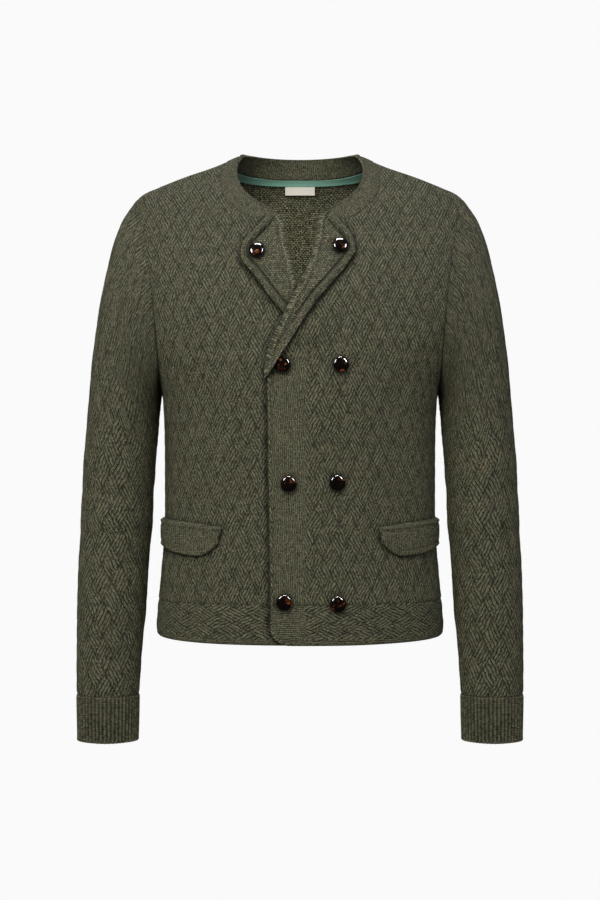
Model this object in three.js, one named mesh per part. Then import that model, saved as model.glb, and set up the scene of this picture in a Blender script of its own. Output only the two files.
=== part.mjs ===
// Knit cardigan in its worn, filled-out form: double-breasted, round neck, turned-back
// lapels, set-in sleeves with ribbed cuffs, slanted pocket flaps and a turned-pattern hem
// band. The body and the sleeves are hollow walls, open at neck, hem, cuffs and armholes.
// Millimetres, +Z up, front towards -Y, wearer's left towards +X. The origin lies between
// the high points of the two shoulders, where the wearer carries the garment.
import * as THREE from 'three';

// Driving dimensions
const WALL = 3; // thickness of the knitted cloth
const SEAM = 0.3; // gap between two pieces at a seam
const CLEARANCE = 1; // from a cloth's mean surface up to a flap that lies on it
const LAPEL_STAND = 1.4; // the same for a lapel
const CABLE_RISE = 0.6; // a cable's crown above the mean surface, and its groove below it
const RIB_RISE = 0.7; // the same for the ribs of a cuff
const BORDER_RISE = 0.8; // a finished border stands this much proud
const HEM_SEAM_Z = -568; // seam of the hem band
const UNDERARM_Z = -303;
const SHOULDER_Z = -57; // shoulder point, where the sleeve starts
const NECK_SEAM_Z = -11; // inner end of the shoulder seam, at the neckband
const HEM_SIDE_Z = -612.5; // lowest edge at the side seams
const HEM_DROP = 5; // how much lower the hem is at the centre
const HEM_CORNER = 23; // radius of the front's lower corner
const FRONT_EDGE_FOOT = 35.3; // how far each front reaches past the centre, at the hem
const LAPEL_FOOT_Z = -290.6; // lower end of the roll line
const OVERLAP_LIFT = 4.4; // the left front lies this far out over the right one
const CROSSING_LIFT = 4.6; // and this much more where it crosses the right lapel
const CROSSING = { x: -5, z: -205, flat: 36, reach: 69 };
const OVERLAP_END = { flatX: 55, lowX: 125, highZ: -125, flatZ: -185 }; // where the lift fades
const BUTTON_CALM = { flat: 14, far: 26 }; // the cloth lies flat this near a button's centre
const ARMHOLE_MIDDLE_X = 191; // middle of the armhole ring, seen from the front
const FLAP_PUFF = 1.6; // a flap stands out most just below its middle
const FLAP_PUFF_START = 0.2;
const FLAP_PUFF_SPAN = 0.75;
const FLAP_SIDE_INSET = 0.4; // a flap's end stays this far inside the side seam
const TAPE_WIDTH = 8.6;
const TAPE_WALL = 0.8;
const TAPE_REACH = 0.84; // part of the back neck seam, from the centre, that the tape covers
const TAPE_DEPTH = 1.5; // from the cloth's inner face to the tape and the label
const TAPE_SPREAD = 0.09; // part by which the tape's lower edge is longer than its upper one
const LABEL = { width: 40, height: 10.6, wall: 0.7 };
const BUTTON_RADIUS = 10;
const BUTTON_STAND = 0.8; // from the cloth up to a button's back

// Rows and columns of the cloth grids. A cable's half repeat is 10 mm wide and 20 mm high.
const SIDE_ROWS = 14; // from the hem band seam to the underarm
const ARMHOLE_ROWS = 14; // from the underarm to the shoulder point
const UNDERARM_FINE = 4; // rows beside the underarm whose inner side isn't made coarser
const UNDERARM_FINE_ROWS = [SIDE_ROWS, SIDE_ROWS + UNDERARM_FINE];
const FRONT_EDGE_ROWS = 12;
const ROLL_ROWS = 10;
const NECK_ROWS = SIDE_ROWS + ARMHOLE_ROWS - FRONT_EDGE_ROWS - ROLL_ROWS;
const FRONT_COLUMNS = 26;
const BACK_COLUMNS = 46;
const BACK_SHOULDER_COLUMNS = 12;
const BACK_NECK_COLUMNS = BACK_COLUMNS - 2 * BACK_SHOULDER_COLUMNS;
const SLEEVE_ROWS = 24;
const SEAM_FADE = 7; // sleeve rings over which the armhole seam's shape fades out
const HEM_ROWS = 4;
const CUFF_RIBS = 48;

// Body sections from the neck seam down to the hem: half width at the side, depth in front
// of and behind the side seams, and the power of the rounded section.
const BODY = [
  { z: -11, half: 95, front: 12, back: 76, power: 1.8 },
  { z: -18, half: 112, front: 19, back: 79, power: 1.8 },
  { z: -30, half: 147, front: 29, back: 84, power: 1.85 },
  { z: -44, half: 181, front: 40, back: 90, power: 1.9 },
  { z: -57, half: 206, front: 50, back: 95, power: 2.0 },
  { z: -75, half: 217, front: 61, back: 100, power: 2.1 },
  { z: -100, half: 223, front: 75, back: 106, power: 2.2 },
  { z: -135, half: 223, front: 92, back: 113, power: 2.3 },
  { z: -177, half: 216.5, front: 107, back: 119, power: 2.4 },
  { z: -230, half: 205, front: 119, back: 123, power: 2.4 },
  { z: -265, half: 193, front: 123, back: 124, power: 2.4 },
  { z: -303, half: 177, front: 125, back: 124, power: 2.4 },
  { z: -342, half: 173, front: 124, back: 121, power: 2.4 },
  { z: -418, half: 172, front: 121, back: 117, power: 2.4 },
  { z: -480, half: 172.5, front: 121, back: 117, power: 2.4 },
  { z: -533, half: 176.5, front: 122, back: 119, power: 2.4 },
  { z: -585, half: 181.5, front: 123, back: 121, power: 2.4 },
  { z: -620, half: 183.5, front: 123, back: 121, power: 2.4 },
];

// Distance of the armhole seam from the centre plane.
const ARMHOLE = [
  { z: -57, x: 206 },
  { z: -93, x: 199 },
  { z: -126, x: 192 },
  { z: -177, x: 185 },
  { z: -230, x: 180 },
  { z: -270, x: 177 },
  { z: -303, x: 177 },
];

// Sleeve sections: outer and inner end of each ring in the XZ plane, half depth, and the
// middle of the ring in Y, which is set back at the upper arm and forward at the wrist.
// The first ring is the armhole.
const SLEEVE = [
  { at: 0, outX: 206, outZ: -57, inX: 177, inZ: -303, depth: 70, mid: 0 },
  { at: 2, outX: 229, outZ: -90, inX: 178, inZ: -313, depth: 69, mid: 3 },
  { at: 5, outX: 246.5, outZ: -148, inX: 179.2, inZ: -326, depth: 66, mid: 3.5 },
  { at: 8, outX: 258.5, outZ: -212, inX: 180.3, inZ: -340, depth: 63.5, mid: 2.4 },
  { at: 11, outX: 266, outZ: -272, inX: 181.5, inZ: -358, depth: 61, mid: 0.8 },
  { at: 14, outX: 271.5, outZ: -340, inX: 183.8, inZ: -386, depth: 58, mid: -1.2 },
  { at: 17, outX: 277, outZ: -408, inX: 186.2, inZ: -426, depth: 55.5, mid: -2.6 },
  { at: 20, outX: 280.4, outZ: -484, inX: 189.6, inZ: -486, depth: 51.5, mid: -3.8 },
  { at: 22, outX: 282.8, outZ: -533, inX: 193.4, inZ: -533, depth: 48.5, mid: -4.8 },
  { at: 24, outX: 284, outZ: -590, inX: 197.1, inZ: -590, depth: 45, mid: -6.2 },
  { at: 26, outX: 284.6, outZ: -640, inX: 202, inZ: -640, depth: 42, mid: -7.2 },
  { at: 28, outX: 284.5, outZ: -690, inX: 204.9, inZ: -690, depth: 39, mid: -8 },
];
const CUFF = [
  { at: 0, outX: 284.7, outZ: -690, inX: 204.7, inZ: -690, depth: 39.2, mid: -8 },
  { at: 1, outX: 284.4, outZ: -720, inX: 205.4, inZ: -720, depth: 38.6, mid: -8 },
  { at: 2, outX: 283.4, outZ: -749, inX: 206.2, inZ: -749, depth: 37.8, mid: -8 },
];

// Roll lines, where the fronts turn back into the lapels, from the neck down. x is measured
// towards the wearer's own side of that front, so it turns negative past the centre.
const ROLL_LEFT = [
  { at: 0, x: 34, z: -85 },
  { at: 0.06, x: 27, z: -94 },
  { at: 0.2, x: 22.9, z: -123 },
  { at: 0.35, x: 15, z: -154 },
  { at: 0.47, x: 5.5, z: -177 },
  { at: 0.58, x: -4.9, z: -196.4 },
  { at: 0.74, x: -19.4, z: -227 },
  { at: 0.92, x: -35, z: -262 },
  { at: 1, x: -39.6, z: LAPEL_FOOT_Z },
];
const ROLL_RIGHT = [
  { at: 0, x: 34, z: -85 },
  { at: 0.06, x: 26.5, z: -94 },
  { at: 0.2, x: 21, z: -120 },
  { at: 0.35, x: 15, z: -149 },
  { at: 0.47, x: 10, z: -173 },
  { at: 0.58, x: 2, z: -194 },
  { at: 0.74, x: -17, z: -226 },
  { at: 0.92, x: -35, z: -262 },
  { at: 1, x: -39.6, z: LAPEL_FOOT_Z },
];

// Free edges of the lapels, from the neck point round the corner to the tail.
const LAPEL_EDGE_LEFT = [
  { at: 0, x: 38, z: -84 },
  { at: 0.06, x: 44, z: -91 },
  { at: 0.14, x: 56.8, z: -106.6 },
  { at: 0.2, x: 65, z: -118 },
  { at: 0.25, x: 67.8, z: -130.5 },
  { at: 0.3, x: 65.5, z: -142 },
  { at: 0.44, x: 41.3, z: -175.4 },
  { at: 0.58, x: 18.8, z: -202.7 },
  { at: 0.72, x: -1, z: -232.3 },
  { at: 0.86, x: -17.5, z: -257.5 },
  { at: 1, x: -33.5, z: -284 },
];
const LAPEL_EDGE_RIGHT = [
  { at: 0, x: 38, z: -83 },
  { at: 0.07, x: 44.5, z: -95 },
  { at: 0.17, x: 56.6, z: -109 },
  { at: 0.26, x: 68.5, z: -122.5 },
  { at: 0.34, x: 72.6, z: -136 },
  { at: 0.42, x: 70.4, z: -149.7 },
  { at: 0.52, x: 59.8, z: -162.5 },
  { at: 0.78, x: 34.6, z: -196.5 },
  { at: 0.93, x: 17.6, z: -216.4 },
  { at: 1, x: 9, z: -225 },
];
const RIGHT_LAPEL_END = 0.66; // part of the right roll line that its lapel follows
const LAPEL_LENGTH_ROWS = 16;
const TAIL_RISE = 6.8; // the left lapel's tail stands up over the button beside it
const TAIL_START = 0.8; // part of the lapel's length where the tail starts to stand up
const TAIL_FULL = 0.9;
const LAPEL_BORDER_START = 0.75; // part of the lapel's width where its border starts
const LAPEL_WIDTH_COLUMNS = 5;

// Section through the roll: s runs past the front's edge, h up from the front's surface.
const ROLL_SECTION = [
  { outS: 4.3, outH: -2.8, inS: 1.5, inH: -2.8 },
  { outS: 4.5, outH: 0.9, inS: 1.5, inH: -0.3 },
  { outS: 2.7, outH: 4.1, inS: 1, inH: 1.3 },
];

// Neckband: its seam on the body, from the lapel to the shoulder and on to the centre back,
// and its free edge.
const NECK_SEAM_FRONT = [
  { at: 0, x: 34, z: -85 },
  { at: 0.2, x: 56, z: -92 },
  { at: 0.4, x: 82, z: -76 },
  { at: 0.6, x: 97, z: -55 },
  { at: 0.8, x: 101, z: -34 },
  { at: 1, x: 95, z: -11 },
];
const NECK_SEAM_BACK = [
  { at: 0, x: 95, z: -11 },
  { at: 0.25, x: 83, z: -15 },
  { at: 0.5, x: 61, z: -19 },
  { at: 0.75, x: 32, z: -21.5 },
  { at: 1, x: 0, z: -22 },
];
const NECK_EDGE_FRONT = [
  { at: 0, x: 36, y: -61, z: -78 },
  { at: 0.2, x: 50, y: -54, z: -69.5 },
  { at: 0.4, x: 66, y: -44, z: -57 },
  { at: 0.6, x: 77.5, y: -31, z: -39 },
  { at: 0.8, x: 80, y: -14, z: -15 },
  { at: 1, x: 73, y: 8, z: 0 },
];
const NECK_EDGE_BACK = [
  { at: 0, x: 73, y: 8, z: 0 },
  { at: 0.25, x: 68.5, y: 32, z: 3 },
  { at: 0.5, x: 52, y: 54, z: 3.5 },
  { at: 0.75, x: 28, y: 70, z: 3.5 },
  { at: 1, x: 0, y: 75, z: 3.3 },
];
const NECKBAND_ROWS = 4;
const NECKBAND_INSET = 2.4 * SEAM; // from the seam line up to the neckband's lower edge

// Pocket flaps, from the inner to the outer end.
const FLAP_EDGES = [
  { at: 0, x: 95, top: -474, bottom: -494, slant: 4 },
  { at: 0.12, x: 108, top: -472.5, bottom: -507, slant: 6 },
  { at: 0.3, x: 126, top: -470, bottom: -510, slant: 4 },
  { at: 0.65, x: 157, top: -467, bottom: -506, slant: 1 },
  { at: 1, x: 171.2, top: -465, bottom: -500, slant: 0 },
];
const FLAP_COLUMNS = 14;
const FLAP_ROWS = 5;

// Buttons: place of each centre on the garment and the cloth that it is sewn to.
const BUTTONS = [
  { name: 'button_1', x: -52.6, z: -137.8, on: 'lapel' },
  { name: 'button_2', x: 49.2, z: -131.4, on: 'lapel' },
  { name: 'button_3', x: -20.8, z: -277.4, on: 'front' },
  { name: 'button_4', x: 48.8, z: -276.9, on: 'front' },
  { name: 'button_5', x: -13.6, z: -421, on: 'front' },
  { name: 'button_6', x: 44.6, z: -419.8, on: 'front' },
  { name: 'button_7', x: -18.7, z: -564.6, on: 'front' },
  { name: 'button_8', x: 45.2, z: -566.6, on: 'front' },
];
// Half profile of a button: radius and height, a domed face over a tapered back.
const BUTTON_PROFILE = [
  [0, 0],
  [3.6, 0],
  [9.1, 1.5],
  [BUTTON_RADIUS, 2.7],
  [8.7, 4.8],
  [5, 6.6],
  [0, 7.2],
];
const BUTTON_SIDES = 16;

const knit = new THREE.MeshStandardMaterial({ color: 0x4d4d3f, roughness: 0.95, metalness: 0 });
const plainKnit = new THREE.MeshStandardMaterial({ color: 0x4a4a3d, roughness: 0.95, metalness: 0 });
const tape = new THREE.MeshStandardMaterial({ color: 0x47705f, roughness: 0.8, metalness: 0 });
const label = new THREE.MeshStandardMaterial({ color: 0xe9e1cf, roughness: 0.75, metalness: 0 });
const horn = new THREE.MeshStandardMaterial({ color: 0x2a1a12, roughness: 0.15, metalness: 0 });

const { lerp, smoothstep, clamp } = THREE.MathUtils;

// Smooth value of one column of a table at a place along its key column.
function sample(table, key, column, at) {
  const last = table.length - 1;
  const direction = Math.sign(table[last][key] - table[0][key]);
  let i = 0;
  while (i < last - 1 && direction * (at - table[i + 1][key]) > 0) i += 1;
  const a = table[i];
  const b = table[i + 1];
  const before = table[Math.max(i - 1, 0)];
  const after = table[Math.min(i + 2, last)];
  const span = b[key] - a[key];
  const t = clamp((at - a[key]) / span, 0, 1);
  const slopeA = ((b[column] - before[column]) / (b[key] - before[key])) * span;
  const slopeB = ((after[column] - a[column]) / (after[key] - a[key])) * span;
  const rise = b[column] - a[column];
  return a[column] + t * slopeA
    + t * t * (3 * rise - 2 * slopeA - slopeB)
    + t * t * t * (slopeA + slopeB - 2 * rise);
}

// Place along a rounded body section: -1 and 1 are the side seams, 0 the centre.
function turnOf(x, z) {
  const half = sample(BODY, 'z', 'half', z);
  const power = sample(BODY, 'z', 'power', z);
  const part = Math.min(Math.abs(x) / half, 1);
  return (Math.sign(x) * Math.asin(part ** (power / 2))) / (Math.PI / 2);
}

function bodyLevel(x, y, z) {
  const half = sample(BODY, 'z', 'half', z);
  const depth = sample(BODY, 'z', y > 0 ? 'back' : 'front', z);
  const power = sample(BODY, 'z', 'power', z);
  return Math.abs(x / half) ** power + Math.abs(y / depth) ** power;
}

// A point of the body's outer surface, with the direction that points out of the cloth.
function bodySpot(turn, z, back) {
  const half = sample(BODY, 'z', 'half', z);
  const depth = sample(BODY, 'z', back ? 'back' : 'front', z);
  const power = sample(BODY, 'z', 'power', z);
  const angle = (turn * Math.PI) / 2;
  const x = Math.sign(turn) * half * Math.abs(Math.sin(angle)) ** (2 / power);
  const y = (back ? 1 : -1) * depth * Math.max(Math.cos(angle), 0) ** (2 / power);
  const out = new THREE.Vector3(
    (Math.sign(x) * power * Math.abs(x) ** (power - 1)) / half ** power,
    (Math.sign(y) * power * Math.abs(y) ** (power - 1)) / depth ** power,
    (bodyLevel(x, y, z + 1) - bodyLevel(x, y, z - 1)) / 2,
  ).normalize();
  return { point: new THREE.Vector3(x, y, z), out };
}

function spotAt(x, z, back = false) {
  return bodySpot(turnOf(x, z), z, back);
}

function moved(spot, distance) {
  return spot.point.clone().addScaledVector(spot.out, distance);
}

// How far the left front lies out over the right front and the right lapel.
function leftLift(x, z) {
  const across = 1 - smoothstep(x, OVERLAP_END.flatX, OVERLAP_END.lowX);
  const below = 1 - smoothstep(z, OVERLAP_END.flatZ, OVERLAP_END.highZ);
  const away = Math.hypot(x - CROSSING.x, z - CROSSING.z);
  const crossing = 1 - smoothstep(away, CROSSING.flat, CROSSING.reach);
  return OVERLAP_LIFT * across * below + CROSSING_LIFT * crossing;
}

// The cloth lies flat under a button.
function buttonCalm(x, z) {
  const nearest = Math.min(...BUTTONS.map((b) => Math.hypot(x - b.x, z - b.z)));
  return smoothstep(nearest, BUTTON_CALM.flat, BUTTON_CALM.far);
}

// Side faces between an edge of the outer grid and the matching edge of the inner one.
function zip(outerEdge, innerEdge, faces) {
  let i = 0;
  let j = 0;
  while (i < outerEdge.length - 1 || j < innerEdge.length - 1) {
    const outerMiddle = i < outerEdge.length - 1 ? outerEdge[i].at + outerEdge[i + 1].at : Infinity;
    const innerMiddle = j < innerEdge.length - 1 ? innerEdge[j].at + innerEdge[j + 1].at : Infinity;
    if (outerMiddle <= innerMiddle) {
      faces.push(outerEdge[i + 1].id, outerEdge[i].id, innerEdge[j].id);
      i += 1;
    } else {
      faces.push(outerEdge[i].id, innerEdge[j].id, innerEdge[j + 1].id);
      j += 1;
    }
  }
}

// Every step-th number below count with the last one, and all of those within fine.
function steps(count, step, fine) {
  const all = Array.from({ length: count }, (_, i) => i);
  const isFine = (i) => fine && i >= fine[0] && i <= fine[1];
  return all.filter((i) => i % step === 0 || i === count - 1 || isFine(i));
}

function enclosedVolume(positions, faces) {
  const a = new THREE.Vector3();
  const b = new THREE.Vector3();
  const c = new THREE.Vector3();
  let volume = 0;
  for (let f = 0; f < faces.length; f += 3) {
    a.fromArray(positions, 3 * faces[f]);
    b.fromArray(positions, 3 * faces[f + 1]);
    c.fromArray(positions, 3 * faces[f + 2]);
    volume += a.dot(b.cross(c)) / 6;
  }
  return volume;
}

// A closed wall from two grids of points, rows by columns. The inner side keeps only every
// step-th row and column. A ring's grid closes on itself along its columns.
function clothWall(outer, inner, options = {}) {
  const { ring = false, step = 2, columnStep = step, fineRows, fineColumns } = options;
  const positions = [];
  const faces = [];
  const columns = outer[0].length;
  const place = (point) => {
    positions.push(point.x, point.y, point.z);
    return positions.length / 3 - 1;
  };
  const outerIds = outer.map((row) => row.map(place));
  if (ring) outerIds.forEach((row) => row.push(row[0]));
  const rowList = steps(outer.length, step, fineRows);
  const columnList = steps(ring ? columns + 1 : columns, columnStep, fineColumns);
  const innerIds = rowList.map((i) => {
    const kept = ring ? columnList.slice(0, -1) : columnList;
    const row = kept.map((j) => place(inner[i][j]));
    if (ring) row.push(row[0]);
    return row;
  });
  const quad = (a, b, c, d, flip) => {
    if (flip) faces.push(a, b, d, b, c, d);
    else faces.push(a, b, c, a, c, d);
  };
  for (let i = 0; i < outerIds.length - 1; i += 1) {
    for (let j = 0; j < outerIds[0].length - 1; j += 1) {
      const [low, high] = [outerIds[i], outerIds[i + 1]];
      quad(low[j], low[j + 1], high[j + 1], high[j], (i + j) % 2 === 1);
    }
  }
  for (let i = 0; i < innerIds.length - 1; i += 1) {
    for (let j = 0; j < innerIds[0].length - 1; j += 1) {
      const [low, high] = [innerIds[i], innerIds[i + 1]];
      const onFirstHalf = 2 * j < innerIds[0].length - 1;
      quad(low[j + 1], low[j], high[j], high[j + 1], ring && onFirstHalf);
    }
  }
  const outerRow = (i) => outerIds[i].map((id, at) => ({ id, at }));
  const innerRow = (i) => innerIds[i].map((id, k) => ({ id, at: columnList[k] }));
  const outerColumn = (j) => outerIds.map((row, at) => ({ id: row[j], at }));
  const innerColumn = (j) => innerIds.map((row, k) => ({ id: row[j], at: rowList[k] }));
  const backwards = (edge) => edge.reverse().map(({ id, at }) => ({ id, at: -at }));
  const lastColumn = outerIds[0].length - 1;
  zip(outerRow(0), innerRow(0), faces);
  zip(backwards(outerRow(outerIds.length - 1)), backwards(innerRow(innerIds.length - 1)), faces);
  if (!ring) {
    zip(outerColumn(lastColumn), innerColumn(innerIds[0].length - 1), faces);
    zip(backwards(outerColumn(0)), backwards(innerColumn(0)), faces);
  }
  if (enclosedVolume(positions, faces) < 0) faces.reverse();
  const geometry = new THREE.BufferGeometry();
  geometry.setAttribute('position', new THREE.Float32BufferAttribute(positions, 3));
  geometry.setIndex(faces);
  geometry.computeVertexNormals();
  return geometry;
}

function grid(rows, columns, make) {
  const outer = [];
  const inner = [];
  for (let i = 0; i <= rows; i += 1) {
    outer.push([]);
    inner.push([]);
    for (let j = 0; j <= columns; j += 1) {
      const { out, into } = make(i, j, i / rows, j / columns);
      outer[i].push(out);
      inner[i].push(into);
    }
  }
  return { outer, inner };
}

// Crowns and grooves of the diagonal cables, calm along seams and borders.
function cableRise(i, j, rows, columns) {
  const onEdge = i === 0 || j === 0 || i === rows || j === columns;
  if (onEdge) return 0;
  return (i + j) % 2 === 1 ? CABLE_RISE : -CABLE_RISE;
}

// The armhole seam, from the shoulder point (0) to the underarm (1).
function armholeTurn(t) {
  const z = lerp(SHOULDER_Z, UNDERARM_Z, (1 - Math.cos(Math.PI * t)) / 2);
  const x = sample(ARMHOLE, 'z', 'x', z);
  const onBody = t > 0 && t < 1 ? turnOf(x, z) : 1;
  return { turn: onBody, z };
}

function armholeSpot(t, back) {
  const { turn, z } = armholeTurn(t);
  const spot = bodySpot(turn, z, back);
  const middle = new THREE.Vector3(ARMHOLE_MIDDLE_X, 0, (SHOULDER_Z + UNDERARM_Z) / 2);
  const radial = spot.point.clone().sub(middle).normalize();
  spot.out.add(radial).normalize();
  return spot;
}

// Side of a body panel, row by row: the side seam, then the armhole seam.
function sideEdge(i) {
  if (i <= SIDE_ROWS) return { turn: 1, z: lerp(HEM_SEAM_Z + SEAM / 2, UNDERARM_Z, i / SIDE_ROWS) };
  return armholeTurn(1 - (i - SIDE_ROWS) / ARMHOLE_ROWS);
}

// Inner side of a front, row by row: front edge, roll line, then the neckband's seam.
function frontEdge(i, roll) {
  if (i <= FRONT_EDGE_ROWS) {
    const t = i / FRONT_EDGE_ROWS;
    const x = lerp(-FRONT_EDGE_FOOT, sample(roll, 'at', 'x', 1), t);
    return { x, z: lerp(HEM_SEAM_Z + SEAM / 2, LAPEL_FOOT_Z, t) };
  }
  if (i <= FRONT_EDGE_ROWS + ROLL_ROWS) {
    const t = 1 - (i - FRONT_EDGE_ROWS) / ROLL_ROWS;
    return { x: sample(roll, 'at', 'x', t), z: sample(roll, 'at', 'z', t) };
  }
  const t = (i - FRONT_EDGE_ROWS - ROLL_ROWS) / NECK_ROWS;
  return { x: sample(NECK_SEAM_FRONT, 'at', 'x', t), z: sample(NECK_SEAM_FRONT, 'at', 'z', t) };
}

function shoulderSeamZ(t) {
  return lerp(NECK_SEAM_Z, SHOULDER_Z, t);
}

// A front panel. side is 1 for the wearer's left, -1 for the right.
function frontPanel(side, roll) {
  const rows = SIDE_ROWS + ARMHOLE_ROWS;
  const columns = FRONT_COLUMNS;
  const { outer, inner } = grid(rows, columns, (i, j, v, u) => {
    const edge = frontEdge(i, roll);
    const far = sideEdge(i);
    const nearTurn = turnOf(edge.x, edge.z);
    const turn = lerp(nearTurn, far.turn, u);
    const foot = HEM_SEAM_Z + SEAM / 2;
    const bottomTop = lerp(foot, shoulderSeamZ(u), v);
    const leftRight = lerp(edge.z, far.z, u);
    const corners = lerp(foot, shoulderSeamZ(u), v);
    const z = bottomTop + leftRight - corners;
    const onArmhole = j === columns && i >= SIDE_ROWS;
    const spot = onArmhole ? armholeSpot(1 - (i - SIDE_ROWS) / ARMHOLE_ROWS) : bodySpot(turn, z);
    const { x } = spot.point;
    const lift = side > 0 ? leftLift(x, z) : 0;
    const calm = side > 0 ? buttonCalm(x, z) : 1;
    const out = moved(spot, lift + cableRise(i, j, rows, columns) * calm);
    const into = moved(spot, lift - WALL);
    out.y -= SEAM / 2;
    into.y -= SEAM / 2;
    out.x *= side;
    into.x *= side;
    return { out, into };
  });
  return clothWall(outer, inner, { fineRows: UNDERARM_FINE_ROWS });
}

// Upper edge of the back, column by column: shoulder seam, neckband seam, shoulder seam.
function backTop(j) {
  const half = BACK_COLUMNS / 2;
  const side = j < half ? -1 : 1;
  const inward = j < half ? j : BACK_COLUMNS - j;
  if (inward <= BACK_SHOULDER_COLUMNS) {
    return { turn: side, z: shoulderSeamZ(1 - inward / BACK_SHOULDER_COLUMNS) };
  }
  const t = (inward - BACK_SHOULDER_COLUMNS) / (BACK_NECK_COLUMNS / 2);
  const z = sample(NECK_SEAM_BACK, 'at', 'z', t);
  return { turn: side * turnOf(sample(NECK_SEAM_BACK, 'at', 'x', t), z), z };
}

function backPanel() {
  const rows = SIDE_ROWS + ARMHOLE_ROWS;
  const columns = BACK_COLUMNS;
  const { outer, inner } = grid(rows, columns, (i, j, v, u) => {
    const top = backTop(j);
    const far = sideEdge(i);
    const spread = 2 * u - 1;
    const foot = HEM_SEAM_Z + SEAM / 2;
    const turn = spread * (far.turn - v) + v * top.turn;
    const z = lerp(foot, top.z, v) + far.z - lerp(foot, SHOULDER_Z, v);
    const onSide = j === 0 || j === columns;
    const onArmhole = onSide && i >= SIDE_ROWS;
    let spot = bodySpot(clamp(turn, -1, 1), z, true);
    if (onArmhole) {
      spot = armholeSpot(1 - (i - SIDE_ROWS) / ARMHOLE_ROWS, true);
      spot.point.x *= Math.sign(spread);
      spot.out.x *= Math.sign(spread);
    }
    const out = moved(spot, cableRise(i, j, rows, columns));
    const into = moved(spot, -WALL);
    out.y += SEAM / 2;
    into.y += SEAM / 2;
    return { out, into };
  });
  return clothWall(outer, inner, { fineRows: UNDERARM_FINE_ROWS });
}

// Lower edge of the hem, lowest at the centre.
function hemZ(turn) {
  return HEM_SIDE_Z - HEM_DROP * Math.cos((turn * Math.PI) / 2);
}

// A hem band from one edge (start) to the other (end), both as places along the section.
function hemBand(columns, back, startX, side) {
  const start = back ? -1 : turnOf(startX, HEM_SEAM_Z);
  const { outer, inner } = grid(HEM_ROWS, columns, (i, j, v, u) => {
    const turn = lerp(start, 1, u);
    const top = HEM_SEAM_Z - SEAM / 2;
    const { x: flatX } = bodySpot(turn, top, back).point;
    const fromEdge = back ? HEM_CORNER : clamp(flatX - startX, 0, HEM_CORNER);
    const corner = HEM_CORNER - Math.sqrt(HEM_CORNER ** 2 - (HEM_CORNER - fromEdge) ** 2);
    const z = lerp(top, hemZ(turn) + corner, v);
    const spot = bodySpot(turn, z, back);
    const lift = side > 0 && !back ? leftLift(flatX, z) : 0;
    const calm = side > 0 && !back ? buttonCalm(flatX, z) : 1;
    const rise = i === HEM_ROWS - 1 ? BORDER_RISE / 2 : cableRise(i, j, HEM_ROWS, columns);
    const out = moved(spot, lift + rise * calm);
    const into = moved(spot, lift - WALL);
    const shift = back ? SEAM / 2 : -SEAM / 2;
    out.y += shift;
    into.y += shift;
    out.x *= side;
    into.x *= side;
    return { out, into };
  });
  return clothWall(outer, inner);
}

// A ring of a sleeve or cuff, as a point at a part t of the whole turn from its outer end.
function ringPoint(table, at, turn) {
  const outX = sample(table, 'at', 'outX', at);
  const outZ = sample(table, 'at', 'outZ', at);
  const inX = sample(table, 'at', 'inX', at);
  const inZ = sample(table, 'at', 'inZ', at);
  const depth = sample(table, 'at', 'depth', at);
  const along = (1 - Math.cos(2 * Math.PI * turn)) / 2;
  const y = sample(table, 'at', 'mid', at) - depth * Math.sin(2 * Math.PI * turn);
  return new THREE.Vector3(lerp(outX, inX, along), y, lerp(outZ, inZ, along));
}

// Where the armhole seam stands off the plain first ring.
function armholeStray(turn) {
  const back = turn > 0.5;
  const t = back ? 2 - 2 * turn : 2 * turn;
  const spot = armholeSpot(t, back);
  if (turn !== 0 && turn !== 0.5) spot.point.y += back ? SEAM / 2 : -SEAM / 2;
  return spot;
}

// A tube of cloth from rings of a table, with the points moved out by rise(i, j).
function tube(table, rows, columns, rise, point = ringPoint) {
  const last = table[table.length - 1].at;
  const at = (i, j) => point(table, (i / rows) * last, ((j + columns) % columns) / columns);
  const outer = [];
  const inner = [];
  for (let i = 0; i <= rows; i += 1) {
    outer.push([]);
    inner.push([]);
    for (let j = 0; j < columns; j += 1) {
      const centre = at(i, j);
      const round = at(i, j + 1).sub(at(i, j - 1));
      const down = at(Math.min(i + 1, rows), j).sub(at(Math.max(i - 1, 0), j));
      const out = round.cross(down).normalize();
      outer[i].push(centre.clone().addScaledVector(out, rise(i, j)));
      inner[i].push(centre.clone().addScaledVector(out, -WALL));
    }
  }
  return { outer, inner };
}

function mirrorTo(side, { outer, inner }) {
  [...outer, ...inner].flat().forEach((point) => {
    point.x *= side;
  });
}

function sleeve(side) {
  const columns = 2 * ARMHOLE_ROWS;
  const point = (table, at, turn) => {
    const fade = 1 - smoothstep(at, 0, SEAM_FADE);
    const stray = armholeStray(turn).point.sub(ringPoint(table, 0, turn));
    return ringPoint(table, at, turn).addScaledVector(stray, fade);
  };
  const calmRow = (i) => i === 0 || i === SLEEVE_ROWS;
  const rise = (i, j) => (calmRow(i) ? 0 : (i + j) % 2 === 1 ? CABLE_RISE : -CABLE_RISE);
  const rings = tube(SLEEVE, SLEEVE_ROWS, columns, rise, point);
  rings.outer[0].forEach((outPoint, j) => {
    const spot = armholeStray(j / columns);
    const away = rings.outer[1][j].clone().sub(spot.point).normalize();
    outPoint.copy(spot.point).addScaledVector(away, SEAM);
    rings.inner[0][j].copy(moved(spot, -WALL)).addScaledVector(away, SEAM);
  });
  const lastRow = [...rings.outer[SLEEVE_ROWS], ...rings.inner[SLEEVE_ROWS]];
  lastRow.forEach((p) => {
    p.z += SEAM / 2;
  });
  mirrorTo(side, rings);
  const fineColumns = [ARMHOLE_ROWS - UNDERARM_FINE, ARMHOLE_ROWS + UNDERARM_FINE];
  return clothWall(rings.outer, rings.inner, { ring: true, fineColumns });
}

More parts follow.
